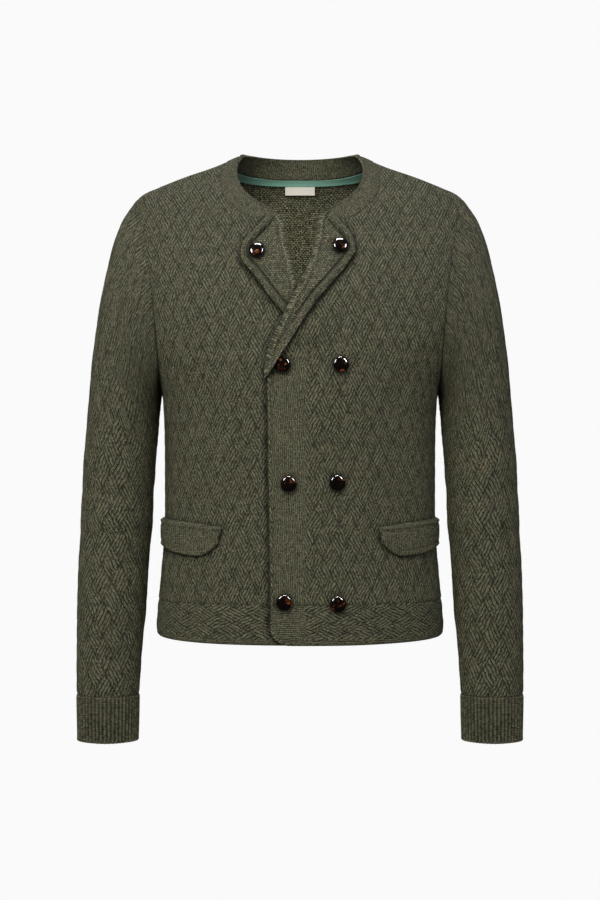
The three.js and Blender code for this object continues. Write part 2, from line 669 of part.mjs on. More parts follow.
function cuff(side) {
  const rows = 2;
  const rise = (i, j) => {
    const crown = j % 2 === 0 ? RIB_RISE : -RIB_RISE;
    return i === 0 ? Math.min(crown, 0) : crown;
  };
  const rings = tube(CUFF, rows, 2 * CUFF_RIBS, rise);
  [...rings.outer[0], ...rings.inner[0]].forEach((p) => {
    p.z -= SEAM / 2;
  });
  mirrorTo(side, rings);
  return clothWall(rings.outer, rings.inner, { ring: true, step: 2, columnStep: 4 });
}

// A lapel: it starts inside the front's edge, rolls over it and lies back on the front.
function lapel(side, roll, freeEdge, rollEnd) {
  const rolled = ROLL_SECTION.length;
  const columns = rolled + LAPEL_WIDTH_COLUMNS;
  const panelPoint = (t) => {
    const row = t * ROLL_ROWS;
    const low = Math.min(Math.floor(row), ROLL_ROWS - 1);
    const a = frontEdge(FRONT_EDGE_ROWS + ROLL_ROWS - low, roll);
    const b = frontEdge(FRONT_EDGE_ROWS + ROLL_ROWS - low - 1, roll);
    return new THREE.Vector2(lerp(a.x, b.x, row - low), lerp(a.z, b.z, row - low));
  };
  const { outer, inner } = grid(LAPEL_LENGTH_ROWS, columns, (i, j, v) => {
    const onRoll = panelPoint(v * rollEnd);
    const free = new THREE.Vector2(
      sample(freeEdge, 'at', 'x', v),
      sample(freeEdge, 'at', 'z', v),
    );
    const past = onRoll.clone().sub(free).normalize();
    const spotFor = (place) => spotAt(place.x, place.y);
    const liftFor = (place) => (side > 0 ? leftLift(place.x, place.y) : 0);
    let out;
    let into;
    if (j < rolled) {
      const section = ROLL_SECTION[j];
      const outPlace = onRoll.clone().addScaledVector(past, section.outS);
      const inPlace = onRoll.clone().addScaledVector(past, section.inS);
      out = moved(spotFor(outPlace), liftFor(onRoll) + section.outH);
      into = moved(spotFor(inPlace), liftFor(onRoll) + section.inH);
    } else {
      const u = (j - rolled) / LAPEL_WIDTH_COLUMNS;
      const place = onRoll.clone().lerp(free, u);
      const border = u > LAPEL_BORDER_START ? BORDER_RISE : 0;
      const stand = side > 0 ? TAIL_RISE * u * smoothstep(v, TAIL_START, TAIL_FULL) : 0;
      const base = liftFor(place) + LAPEL_STAND + stand;
      const spot = spotFor(place);
      out = moved(spot, base + WALL + border);
      into = moved(spot, base);
    }
    out.x *= side;
    into.x *= side;
    return { out, into };
  });
  return clothWall(outer, inner, { step: 1 });
}

// The neckband, from the left lapel over the back to the right lapel.
function neckSpots() {
  const spots = [];
  for (let k = 0; k <= NECK_ROWS; k += 1) {
    const t = k / NECK_ROWS;
    const x = sample(NECK_SEAM_FRONT, 'at', 'x', t);
    const seam = t < 1 ? spotAt(x, sample(NECK_SEAM_FRONT, 'at', 'z', t)) : bodySpot(1, NECK_SEAM_Z);
    if (t < 1) seam.point.y -= SEAM / 2;
    spots.push({ seam, edge: edgePoint(NECK_EDGE_FRONT, t) });
  }
  for (let k = 1; k <= BACK_NECK_COLUMNS / 2; k += 1) {
    const t = k / (BACK_NECK_COLUMNS / 2);
    const z = sample(NECK_SEAM_BACK, 'at', 'z', t);
    const seam = spotAt(sample(NECK_SEAM_BACK, 'at', 'x', t), z, true);
    seam.point.y += SEAM / 2;
    spots.push({ seam, edge: edgePoint(NECK_EDGE_BACK, t) });
  }
  return spots;
}

function edgePoint(table, t) {
  return new THREE.Vector3(
    sample(table, 'at', 'x', t),
    sample(table, 'at', 'y', t),
    sample(table, 'at', 'z', t),
  );
}

function neckband() {
  const half = neckSpots();
  const mirrored = half.slice(0, -1).reverse().map(({ seam, edge }) => ({
    seam: {
      point: seam.point.clone().setX(-seam.point.x),
      out: seam.out.clone().setX(-seam.out.x),
    },
    edge: edge.clone().setX(-edge.x),
  }));
  const whole = [...half, ...mirrored];
  const { outer, inner } = grid(NECKBAND_ROWS, whole.length - 1, (i, j, v) => {
    const { seam, edge } = whole[j];
    const ahead = whole[Math.min(j + 1, whole.length - 1)].edge;
    const behind = whole[Math.max(j - 1, 0)].edge;
    const up = edge.clone().sub(seam.point);
    const away = up.clone().normalize();
    const onBand = seam.point.clone().lerp(edge, v).addScaledVector(away, NECKBAND_INSET * (1 - v));
    const along = ahead.clone().sub(behind);
    const edgeOut = along.cross(up).normalize();
    if (edgeOut.dot(seam.out) < 0) edgeOut.negate();
    const out = seam.out.clone().lerp(edgeOut, v).normalize();
    const border = i === NECKBAND_ROWS ? BORDER_RISE : 0;
    return {
      out: onBand.clone().addScaledVector(out, border),
      into: onBand.clone().addScaledVector(out, -WALL - border / 2),
    };
  });
  return clothWall(outer, inner, { step: 1, columnStep: 2 });
}

function pocketFlap(side) {
  const { outer, inner } = grid(FLAP_ROWS, FLAP_COLUMNS, (i, j, v, u) => {
    const z = lerp(sample(FLAP_EDGES, 'at', 'top', u), sample(FLAP_EDGES, 'at', 'bottom', u), v);
    const x = sample(FLAP_EDGES, 'at', 'x', u) + sample(FLAP_EDGES, 'at', 'slant', u) * v;
    const spot = spotAt(Math.min(x, sample(BODY, 'z', 'half', z) - FLAP_SIDE_INSET), z);
    const puff = FLAP_PUFF * Math.sin(Math.PI * (FLAP_PUFF_START + FLAP_PUFF_SPAN * v));
    const base = (side > 0 ? leftLift(x, z) : 0) + CLEARANCE;
    const out = moved(spot, base + WALL + puff);
    const into = moved(spot, base);
    out.x *= side;
    into.x *= side;
    return { out, into };
  });
  return clothWall(outer, inner, { step: 1 });
}

// The tape lies inside, over the seam of neckband and back, from shoulder to shoulder.
function neckTape() {
  const columns = BACK_NECK_COLUMNS;
  const { outer, inner } = grid(2, columns, (i, j, v, u) => {
    const t = 1 - Math.abs(2 * u - 1) * TAPE_REACH;
    const seamZ = sample(NECK_SEAM_BACK, 'at', 'z', t);
    const seamX = Math.sign(u - 0.5) * sample(NECK_SEAM_BACK, 'at', 'x', t);
    const z = seamZ - SEAM - TAPE_WIDTH * v;
    const x = seamX * (1 + TAPE_SPREAD * v);
    const spot = spotAt(x, z, true);
    return {
      out: moved(spot, -WALL - TAPE_DEPTH),
      into: moved(spot, -WALL - TAPE_DEPTH - TAPE_WALL),
    };
  });
  return clothWall(outer, inner, { step: 1 });
}

function neckLabel() {
  const top = sample(NECK_SEAM_BACK, 'at', 'z', 1) - TAPE_WIDTH - 2 * SEAM;
  const { outer, inner } = grid(2, 6, (i, j, v, u) => {
    const x = LABEL.width * (u - 0.5);
    const spot = spotAt(x, top - LABEL.height * v, true);
    return {
      out: moved(spot, -WALL - TAPE_DEPTH),
      into: moved(spot, -WALL - TAPE_DEPTH - LABEL.wall),
    };
  });
  return clothWall(outer, inner, { step: 1 });
}

function buttonMesh({ name, x, z, on }) {
  const profile = BUTTON_PROFILE.map(([radius, height]) => new THREE.Vector2(radius, height));
  const mesh = new THREE.Mesh(new THREE.LatheGeometry(profile, BUTTON_SIDES), horn);
  const spot = spotAt(x, z);
  const onLeft = on === 'front' || x > 0;
  const lift = onLeft ? leftLift(x, z) : 0;
  const cloth = on === 'lapel' ? LAPEL_STAND + WALL : 0;
  mesh.position.copy(moved(spot, lift + cloth + BUTTON_STAND));
  mesh.quaternion.setFromUnitVectors(new THREE.Vector3(0, 1, 0), spot.out);
  mesh.name = name;
  return mesh;
}

const cardigan = new THREE.Group();

function add(name, geometry, material) {
  const mesh = new THREE.Mesh(geometry, material);
  mesh.name = name;
  cardigan.add(mesh);
}

add('back', backPanel(), knit);
add('front_left', frontPanel(1, ROLL_LEFT), knit);
add('front_right', frontPanel(-1, ROLL_RIGHT), knit);
add('hem_band_back', hemBand(28, true, 0, 1), knit);
add('hem_band_left', hemBand(16, false, -FRONT_EDGE_FOOT, 1), knit);
add('hem_band_right', hemBand(16, false, -FRONT_EDGE_FOOT, -1), knit);
add('lapel_left', lapel(1, ROLL_LEFT, LAPEL_EDGE_LEFT, 1), knit);
add('lapel_right', lapel(-1, ROLL_RIGHT, LAPEL_EDGE_RIGHT, RIGHT_LAPEL_END), knit);
add('neckband', neckband(), plainKnit);
for (const [suffix, side] of [['left', 1], ['right', -1]]) {
  add(`sleeve_${suffix}`, sleeve(side), knit);
  add(`cuff_${suffix}`, cuff(side), plainKnit);
  add(`pocket_flap_${suffix}`, pocketFlap(side), plainKnit);
}
add('neck_tape', neckTape(), tape);
add('neck_label', neckLabel(), label);
BUTTONS.forEach((row) => cardigan.add(buttonMesh(row)));

export default cardigan;
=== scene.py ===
"""Looks of a double-breasted knit cardigan: knitted walls with real cables, borders and
ribs, horn buttons, a neck tape and a blank label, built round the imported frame."""

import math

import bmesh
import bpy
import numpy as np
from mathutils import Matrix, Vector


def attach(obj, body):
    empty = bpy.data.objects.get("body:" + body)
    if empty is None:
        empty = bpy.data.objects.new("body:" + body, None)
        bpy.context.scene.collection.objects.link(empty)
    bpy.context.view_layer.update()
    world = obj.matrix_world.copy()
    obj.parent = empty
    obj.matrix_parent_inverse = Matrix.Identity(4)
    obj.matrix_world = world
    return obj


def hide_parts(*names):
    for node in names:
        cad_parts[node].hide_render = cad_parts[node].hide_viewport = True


bl_info = {
    "name": "Knit Cardigan Finish",
    "version": (1, 0, 0),
    "blender": (4, 5, 0),
    "location": "View3D > Sidebar > Cardigan",
    "description": "Builds the knitted pieces, buttons and trims of a cardigan",
    "category": "Object",
}

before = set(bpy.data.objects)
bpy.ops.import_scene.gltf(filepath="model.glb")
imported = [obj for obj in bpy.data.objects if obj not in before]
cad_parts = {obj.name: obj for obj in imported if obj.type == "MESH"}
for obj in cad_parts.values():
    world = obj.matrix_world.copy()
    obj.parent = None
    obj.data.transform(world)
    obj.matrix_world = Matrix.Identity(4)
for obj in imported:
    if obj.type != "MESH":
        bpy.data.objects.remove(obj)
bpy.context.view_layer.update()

MM = 0.001  # the tables are in millimetres, and Blender works in metres
KNIT_MAP = "knit_mm"  # UV map: millimetres across and along the knit
CABLE_AND_HIGHLIGHT_SHARE = "cable_and_highlight_share"  # attribute: 1 where the knit is cabled, 0 where it is plain, 2 on edge stitches with a painted highlight
EDGE_HIGHLIGHT_SHARE = 2.0  # the same attribute on edge stitches, which get a painted highlight
SIDES = (("left", 1), ("right", -1))  # the wearer's, with the sign of x

# ---------------------------------------------------------------- sizes and tables

# In millimetres: x to the wearer's left, y to the back and z up from the neck edge at the
# shoulders.
WALL = 3.0  # thickness of the knitted cloth
SEAM = 0.3  # gap between two pieces at a seam
FLAP_CLEARANCE = 1.0  # from the cloth up to a flap on it
LAPEL_STAND = 1.4  # the same for a lapel
LOWEST_Z = -630.0  # where the surface of the body starts
HEM_SEAM_Z = -568.0
UNDERARM_Z = -303.0
SHOULDER_Z = -57.0
NECK_SEAM_Z = -11.0
HEM_SIDE_Z = -612.5
HEM_DROP = 5.0
HEM_CORNER = 23.0
FRONT_EDGE_FOOT = 35.3
LAPEL_FOOT_Z = -290.6
OVERLAP_LIFT = 4.4  # how far the left front lies out over the right one
CROSSING_LIFT = 4.6  # and how much more where it crosses the right lapel
CROSSING_X, CROSSING_Z, CROSSING_FLAT, CROSSING_REACH = -5.0, -205.0, 36.0, 69.0
ARMHOLE_MIDDLE_X = 191.0
TAPE_WALL = 0.8
TAPE_REACH = 0.84
TAPE_DEPTH = 1.5
TAPE_SPREAD = 0.09  # part by which the tape's lower edge is the longer one
LABEL_WIDTH, LABEL_HEIGHT, LABEL_WALL = 40.0, 10.6, 0.7
BUTTON_STAND, BUTTON_SIDES = 0.8, 48
RIGHT_LAPEL_END = 0.66  # part of the right roll line that its lapel follows
TAIL_RISE = 6.8  # the left lapel's tail stands up over the button beside it
CUFF_RIBS = 48

CABLE_WIDTH, CABLE_HEIGHT = 20.0, 40.0  # one diamond of the basket of diagonal strips
SLEEVE_WIDTH, SLEEVE_HEIGHT = 24.0, 46.0  # the same on the sleeves
STRIP_RIBS, STRIP_STITCHES = 5, 10  # ribs across one strip, and stitches along it
EDGE_STITCH = 2.8  # width of the bead of edge stitches, where a highlight is painted
PAINTED_SHADE_REACH = 0.009  # in metres: painted shade from an occlusion node darkens the colour in folds and furrows this near
YARN_RELIEF = 0.0009  # in metres: how far the yarn of a stitch stands up

# Width and height of one stitch of each knit. The rib's width is counted in ribs.
BORDER_KNIT, FINE_KNIT, RIB_KNIT = (2.3, 1.9), (2.5, 1.9), (1.0, 2.9)
LAPEL_PURL, LAPEL_EDGE_KNIT, INSIDE_PURL = (3.4, 2.4), (2.4, 2.6), (4.4, 2.6)

PLAIN_BORDER, PLAIN_BORDER_END = 36.0, 50.0  # plain knit beside the front edges
SEAM_CALM = 6.0  # the cables fade out this near a seam
EDGE_START = 0.6  # from a free edge to its bead of edge stitches with a painted highlight
FRONT_SINK, LAPEL_SINK = 2.6, 2.4  # how far the cloth sinks beside the edge lying on it
SINK_REACH, LAPEL_SINK_REACH = 3.4, 4.2
FOLD_ROUND = 300.0  # mean girth of a sleeve, for the width of its creases
ROLL_PART = 0.2  # part of a lapel's columns that goes round the roll
LAPEL_BAND = 9.5  # padded band along a lapel's free edge
LAPEL_PUFF, LAPEL_GROOVE = 2.9, 1.9
NECK_FRONT_PART = 0.54  # part of half the neckband that lies on the front
NECK_ROLL = 4.4  # width of the neckband's rolled edge
FLAP_SIDE_INSET = 0.4
FLAP_PUFF, FLAP_HEIGHT = 1.6, 36.0


def table(columns, *rows):
    """Named columns of numbers. The first column is the one that the others are read by."""
    return dict(zip(columns.split(), np.array(rows, float).T))


BODY = table(
    "z half front back power",
    (-11, 95, 12, 76, 1.8), (-18, 112, 19, 79, 1.8), (-30, 147, 29, 84, 1.85),
    (-44, 181, 40, 90, 1.9), (-57, 206, 50, 95, 2.0), (-75, 217, 61, 100, 2.1),
    (-100, 223, 75, 106, 2.2), (-135, 223, 92, 113, 2.3), (-177, 216.5, 107, 119, 2.4),
    (-230, 205, 119, 123, 2.4), (-265, 193, 123, 124, 2.4), (-303, 177, 125, 124, 2.4),
    (-342, 173, 124, 121, 2.4), (-418, 172, 121, 117, 2.4), (-480, 172.5, 121, 117, 2.4),
    (-533, 176.5, 122, 119, 2.4), (-585, 181.5, 123, 121, 2.4), (-620, 183.5, 123, 121, 2.4),
)
ARMHOLE = table(
    "z x",
    (-57, 206), (-93, 199), (-126, 192), (-177, 185), (-230, 180), (-270, 177), (-303, 177),
)
SLEEVE = table(
    "at out_x out_z in_x in_z depth mid",
    (0, 206, -57, 177, -303, 70, 0), (2, 229, -90, 178, -313, 69, 3),
    (5, 246.5, -148, 179.2, -326, 66, 3.5), (8, 258.5, -212, 180.3, -340, 63.5, 2.4),
    (11, 266, -272, 181.5, -358, 61, 0.8), (14, 271.5, -340, 183.8, -386, 58, -1.2),
    (17, 277, -408, 186.2, -426, 55.5, -2.6), (20, 280.4, -484, 189.6, -486, 51.5, -3.8),
    (22, 282.8, -533, 193.4, -533, 48.5, -4.8), (24, 284, -590, 197.1, -590, 45, -6.2),
    (26, 284.6, -640, 202, -640, 42, -7.2), (28, 284.5, -690, 204.9, -690, 39, -8),
)
CUFF = table(
    "at out_x out_z in_x in_z depth mid",
    (0, 284.7, -690, 204.7, -690, 39.2, -8), (1, 284.4, -720, 205.4, -720, 38.6, -8),
    (2, 283.4, -749, 206.2, -749, 37.8, -8),
)
ROLL_LEFT = table(
    "at x z",
    (0, 34, -85), (0.06, 27, -94), (0.2, 22.9, -123), (0.35, 15, -154), (0.47, 5.5, -177),
    (0.58, -4.9, -196.4), (0.74, -19.4, -227), (0.92, -35, -262), (1, -39.6, LAPEL_FOOT_Z),
)
ROLL_RIGHT = table(
    "at x z",
    (0, 34, -85), (0.06, 26.5, -94), (0.2, 21, -120), (0.35, 15, -149), (0.47, 10, -173),
    (0.58, 2, -194), (0.74, -17, -226), (0.92, -35, -262), (1, -39.6, LAPEL_FOOT_Z),
)
LAPEL_EDGE_LEFT = table(
    "at x z",
    (0, 38, -84), (0.06, 44, -91), (0.14, 56.8, -106.6), (0.2, 65, -118), (0.25, 67.8, -130.5),
    (0.3, 65.5, -142), (0.44, 41.3, -175.4), (0.58, 18.8, -202.7), (0.72, -1, -232.3),
    (0.86, -17.5, -257.5), (1, -33.5, -284),
)
LAPEL_EDGE_RIGHT = table(
    "at x z",
    (0, 38, -83), (0.07, 44.5, -95), (0.17, 56.6, -109), (0.26, 68.5, -122.5),
    (0.34, 72.6, -136), (0.42, 70.4, -149.7), (0.52, 59.8, -162.5), (0.78, 34.6, -196.5),
    (0.93, 17.6, -216.4), (1, 9, -225),
)
# Section through the roll, from inside the front's edge (0) to the roll line (3): s runs
# past the edge and h up from the front's surface, for the face and for the inside.
ROLL_SECTION = table(
    "at out_s out_h in_s in_h",
    (0, 4.3, -2.8, 1.5, -2.8), (1, 4.5, 0.9, 1.5, -0.3), (2, 2.7, 4.1, 1.0, 1.3),
    (3, 0, LAPEL_STAND + WALL, 0, LAPEL_STAND),
)
NECK_SEAM_FRONT = table(
    "at x z", (0, 34, -85), (0.2, 56, -92), (0.4, 82, -76), (0.6, 97, -55), (0.8, 101, -34),
    (1, 95, -11),
)
NECK_SEAM_BACK = table(
    "at x z", (0, 95, -11), (0.25, 83, -15), (0.5, 61, -19), (0.75, 32, -21.5), (1, 0, -22),
)
NECK_EDGE_FRONT = table(
    "at x y z", (0, 36, -61, -78), (0.2, 50, -54, -69.5), (0.4, 66, -44, -57),
    (0.6, 77.5, -31, -39), (0.8, 80, -14, -15), (1, 73, 8, 0),
)
NECK_EDGE_BACK = table(
    "at x y z", (0, 73, 8, 0), (0.25, 68.5, 32, 3), (0.5, 52, 54, 3.5), (0.75, 28, 70, 3.5),
    (1, 0, 75, 3.3),
)
FLAP_EDGES = table(
    "at x top bottom slant",
    (0, 95, -474, -494, 4), (0.12, 108, -472.5, -507, 6), (0.3, 126, -470, -510, 4),
    (0.65, 157, -467, -506, 1), (1, 171.2, -465, -500, 0),
)
ROLLS = {"left": ROLL_LEFT, "right": ROLL_RIGHT}
LAPEL_EDGES = {"left": LAPEL_EDGE_LEFT, "right": LAPEL_EDGE_RIGHT}
BUTTONS = (  # name, x, z, and the cloth that it is sewn to
    ("button_1", -52.6, -137.8, "lapel"), ("button_2", 49.2, -131.4, "lapel"),
    ("button_3", -20.8, -277.4, "front"), ("button_4", 48.8, -276.9, "front"),
    ("button_5", -13.6, -421.0, "front"), ("button_6", 44.6, -419.8, "front"),
    ("button_7", -18.7, -564.6, "front"), ("button_8", 45.2, -566.6, "front"),
)
# Half profile of a button, radius and height: a domed face with a soft rim, over a back
# that tapers to the thread.
BUTTON_PROFILE = (
    (0, 0), (3.4, 0), (6.2, 0.35), (8.6, 1.2), (9.7, 2.1), (10, 3.0), (9.85, 3.9),
    (9.4, 4.7), (8.7, 5.4), (7.7, 5.95), (6.4, 6.35), (4.6, 6.65), (2.4, 6.82), (0, 6.88),
)
# Soft creases in the worn cloth: middle, direction in degrees from the x axis, half
# length, half width, and how far the cloth stands out (or sinks in, below zero).
CREASES = (
    (118, -300, 62, 62, 11, -2.2), (-120, -302, 118, 60, 11, -2.2),
    (139, -262, 58, 50, 10, 1.8), (-141, -268, 122, 52, 10, 1.7),
    (96, -352, 78, 64, 13, 1.2), (-92, -356, 101, 58, 14, 1.1),
    (120, -420, 96, 70, 15, -1.1), (-124, -414, 86, 66, 16, -1.0),
    (88, -540, 84, 50, 13, -0.9), (-90, -536, 97, 54, 14, -0.9),
    (150, -160, 112, 60, 12, -1.3), (-150, -164, 70, 58, 12, -1.2),
    (-20, -345, 93, 44, 15, 0.7), (10, -500, 88, 50, 16, -0.7),
)
# The same on a sleeve: place along it, in degrees round it from the outside towards the
# front, and half lengths along and round, in millimetres, with the depth.
SLEEVE_CREASES = (
    (95, 74, 34, 11, -2.0), (128, 92, 40, 10, 1.4), (176, 118, 36, 12, -1.6),
    (262, 58, 15, 42, -1.8), (292, 96, 13, 44, 1.5), (318, 70, 14, 46, -2.0),
    (352, 104, 15, 38, -1.5), (405, 62, 18, 40, 1.0), (470, 88, 20, 36, -1.1),
    (540, 66, 16, 40, -1.2), (575, 100, 14, 42, 1.2), (604, 76, 12, 40, -1.3),
    (250, 238, 18, 44, -1.6), (300, 262, 16, 46, 1.3), (340, 228, 16, 40, -1.5),
    (440, 250, 20, 38, -1.0), (560, 236, 16, 40, -1.1), (598, 268, 13, 36, -1.2),
)

# Rows and columns of each piece's mesh, and its cut before sewing: width, length and area,
# in metres.
CUTS = {
    "back": (300, 264, 0.52, 0.60, 0.27),
    "front": (364, 184, 0.32, 0.60, 0.15),
    "hem_back": (36, 320, 0.48, 0.048, 0.022),
    "hem_front": (36, 220, 0.28, 0.048, 0.0128),
    "lapel_left": (168, 64, 0.085, 0.25, 0.0090),
    "lapel_right": (168, 64, 0.085, 0.20, 0.0074),
    "neckband": (28, 340, 0.56, 0.03, 0.0135),
    "sleeve": (332, 192, 0.40, 0.60, 0.172),
    "cuff": (32, 8 * CUFF_RIBS, 0.26, 0.062, 0.0161),
    "flap": (36, 80, 0.105, 0.050, 0.0048),
    "tape": (8, 120, 0.22, 0.011, 0.0024),
    "label": (8, 32, 0.040, 0.0106, 0.00042),
}


# ---------------------------------------------------------------- surfaces

def sample(rows, column, at):
    """Smooth value of one column of a table at places along its first column."""
    keys, values = next(iter(rows.values())), rows[column]
    at = np.asarray(at, float)
    order = np.sign(keys[-1] - keys[0])
    last = len(keys) - 1
    i = np.clip(np.searchsorted(order * keys, order * at) - 1, 0, last - 1)
    before, after = np.maximum(i - 1, 0), np.minimum(i + 2, last)
    span = keys[i + 1] - keys[i]
    t = np.clip((at - keys[i]) / span, 0, 1)
    slope_a = (values[i + 1] - values[before]) / (keys[i + 1] - keys[before]) * span
    slope_b = (values[after] - values[i]) / (keys[after] - keys[i]) * span
    rise = values[i + 1] - values[i]
    curve = t * t * (3 * rise - 2 * slope_a - slope_b) + t ** 3 * (slope_a + slope_b - 2 * rise)
    return values[i] + t * slope_a + curve


def samples(rows, columns, at):
    """Several columns of a table at the same places."""
    return [sample(rows, column, at) for column in columns.split()]


def lerp(a, b, t):
    return a + (b - a) * t


def smoothstep(value, low, high):
    t = np.clip((value - low) / (high - low), 0, 1)
    return t * t * (3 - 2 * t)


def fade(value, low, high):
    return 1 - smoothstep(value, low, high)


def bulge(distance, reach):
    """A round hill: 1 at no distance, and almost 0 at twice its reach."""
    return np.exp(-(distance / reach) ** 2)


def rounded(distance, drop, reach):
    """How a rounded rim drops away towards a free edge."""
    return -drop * (1 - np.clip(distance / reach, 0, 1)) ** 2


def travelled(points, axis):
    """Distance along rows or columns of points, from 0 at the first."""
    steps = np.linalg.norm(np.diff(points, axis=axis), axis=-1)
    return np.insert(np.cumsum(steps, axis=axis), 0, 0, axis=axis)


def stack(*parts):
    return np.stack(np.broadcast_arrays(*parts), axis=-1)


def unit(vectors):
    return vectors / np.maximum(np.linalg.norm(vectors, axis=-1, keepdims=True), 1e-9)


def turn_of(x, z):
    """Place along a body section: -1 and 1 are the side seams, 0 the centre."""
    part = np.minimum(np.abs(x) / sample(BODY, "half", z), 1)
    return np.sign(x) * np.arcsin(part ** (sample(BODY, "power", z) / 2)) / (np.pi / 2)


def body_level(x, y, z):
    depth = np.where(y > 0, sample(BODY, "back", z), sample(BODY, "front", z))
    power = sample(BODY, "power", z)
    return np.abs(x / sample(BODY, "half", z)) ** power + np.abs(y / depth) ** power


def body_spot(turn, z, back=False):
    """Points of the body's surface, and the directions that point out of the cloth."""
    half = sample(BODY, "half", z)
    depth = sample(BODY, "back" if back else "front", z)
    power = sample(BODY, "power", z)
    angle = turn * np.pi / 2
    x = np.sign(turn) * half * np.abs(np.sin(angle)) ** (2 / power)
    y = (1 if back else -1) * depth * np.maximum(np.cos(angle), 0) ** (2 / power)
    out = stack(
        np.sign(x) * power * np.abs(x) ** (power - 1) / half ** power,
        np.sign(y) * power * np.abs(y) ** (power - 1) / depth ** power,
        (body_level(x, y, z + 1) - body_level(x, y, z - 1)) / 2,
    )
    return stack(x, y, z), unit(out)


def spot_at(x, z, back=False):
    return body_spot(turn_of(x, z), z, back)


def arc_length(turn, z, back=False):
    """Millimetres along a body section from the centre, for pattern places."""
    stops = np.linspace(0, 1, 65)
    levels = np.linspace(LOWEST_Z, NECK_SEAM_Z, 90)
    lengths = travelled(body_spot(stops[None, :], levels[:, None], back)[0], 1)
    row = np.clip((z - levels[0]) / (levels[1] - levels[0]), 0, len(levels) - 1.001)
    column = np.clip(np.abs(turn) * (len(stops) - 1), 0, len(stops) - 1.001)
    i, j = row.astype(int), column.astype(int)
    low = lerp(lengths[i, j], lengths[i, j + 1], column - j)
    high = lerp(lengths[i + 1, j], lengths[i + 1, j + 1], column - j)
    return np.sign(turn) * lerp(low, high, row - i)


def climb(z, back=False):
    """Millimetres up the middle of the front or back, from the hem band's seam."""
    levels = np.linspace(LOWEST_Z, NECK_SEAM_Z, 400)
    depth = sample(BODY, "back" if back else "front", levels)
    steps = np.hypot(np.diff(levels), np.diff(depth))
    heights = np.concatenate([[0], np.cumsum(steps)])
    return np.interp(z, levels, heights) - np.interp(HEM_SEAM_Z, levels, heights)


def crease(x, z):
    """Soft troughs and ridges of worn cloth on the fronts."""
    total = np.zeros(np.broadcast(x, z).shape)
    for mid_x, mid_z, degrees, half_length, half_width, height in CREASES:
        angle = math.radians(degrees)
        along = (x - mid_x) * math.cos(angle) + (z - mid_z) * math.sin(angle)
        across = (z - mid_z) * math.cos(angle) - (x - mid_x) * math.sin(angle)
        total += height * np.exp(-(along / half_length) ** 2 - (across / half_width) ** 2)
    return total


def front_lift(x, z, side):
    """How far a front lies out from the body: creases, and the left front's overlap.
    x is measured towards the wearer's own side of that front."""
    lift = crease(side * x, z)
    if side > 0:
        over = fade(x, 55, 125) * fade(z, -185, -125)
        away = np.hypot(x - CROSSING_X, z - CROSSING_Z)
        lift = lift + OVERLAP_LIFT * over
        lift = lift + CROSSING_LIFT * fade(away, CROSSING_FLAT, CROSSING_REACH)
    return lift


def button_calm(x, z):
    """0 under a button, where the cloth lies flat, and 1 away from it."""
    nearest = np.full(np.broadcast(x, z).shape, 1e9)
    for _, button_x, button_z, _ in BUTTONS:
        nearest = np.minimum(nearest, np.hypot(x - button_x, z - button_z))
    return smoothstep(nearest, 11, 16)


def cabled(across, along):
    """Relief of a plain weave of diagonal ribbed strips, in millimetres about zero."""
    knit = bpy.context.scene.cardigan_knit
    a = across / CABLE_WIDTH + along / CABLE_HEIGHT
    b = across / CABLE_WIDTH - along / CABLE_HEIGHT
    over = (np.floor(a) + np.floor(b)) % 2
    crown = np.sin(np.pi * (a % 1)) * np.sin(np.pi * (b % 1))
    rib = np.abs(np.sin(STRIP_RIBS * np.pi * np.where(over > 0, b, a)))
    bend = knit.strip_crown / MM * (crown ** 0.6 - 0.55)
    return bend + knit.strip_rib / MM * (rib - 0.6) * crown ** 0.4


def edge_form(distance, bead=0.9, width=3.2):
    """Relief beside a free edge: a small rounded bead and the groove inside it."""
    bump = bead * bulge(distance - width / 2, 0.45 * width)
    groove = -0.55 * bulge(distance - 1.55 * width, 0.35 * width)
    return bump + groove + rounded(distance, 0.9, 1.4)


def corner_cut(away):
    """How much a front's rounded lower corner takes off, this far from its side."""
    inward = HEM_CORNER - np.minimum(away, HEM_CORNER)
    return HEM_CORNER - np.sqrt(HEM_CORNER ** 2 - inward ** 2)


def beside_front_edge(x, z):
    """Where the right front comes out from under the left front's edge, it sinks a little.
    x is measured towards the wearer's right."""
    t = np.clip((z - FOOT_Z) / (LAPEL_FOOT_Z - FOOT_Z), 0, 1)
    edge_x = lerp(FRONT_EDGE_FOOT, -ROLL_LEFT["x"][-1], t)
    corner = corner_cut(np.clip(z - HEM_SIDE_Z + HEM_DROP, 0, HEM_CORNER))
    sink = -FRONT_SINK * bulge(x - edge_x + corner - 1.2, SINK_REACH)
    return sink * fade(z, LAPEL_FOOT_Z - 12, LAPEL_FOOT_Z)


def beside_lapel(x, z, free_edge):
    """A front sinks a little along the free edge of the lapel that lies on it."""
    away = outline_distance(x, z, *samples(free_edge, "x z", np.linspace(0, 1, 120)))
    return -LAPEL_SINK * bulge(away, LAPEL_SINK_REACH)


def seam_dip(distance, depth=0.9, reach=3.5):
    """Where two pieces are sewn together, the cloth turns in towards the seam."""
    return -depth * fade(distance, 0, reach)


def outline_distance(x, z, line_x, line_z):
    """Distance to an outline that is given by close points."""
    nearest = np.full(x.shape, 1e9)
    for near_x, near_z in zip(line_x, line_z):
        nearest = np.minimum(nearest, (x - near_x) ** 2 + (z - near_z) ** 2)
    return np.sqrt(nearest)


def walls(points, out, outer, inner, side=1, shift=0.0):
    """The face and the inside of a piece: its points moved out by each height, shifted in
    y, and mirrored for its side."""
    both = [points + out * (height + 0 * points[..., 0])[..., None] for height in (outer, inner)]
    for wall in both:
        wall[..., 1] += shift
        wall[..., 0] *= side
    return both


# ---------------------------------------------------------------- cloth meshes

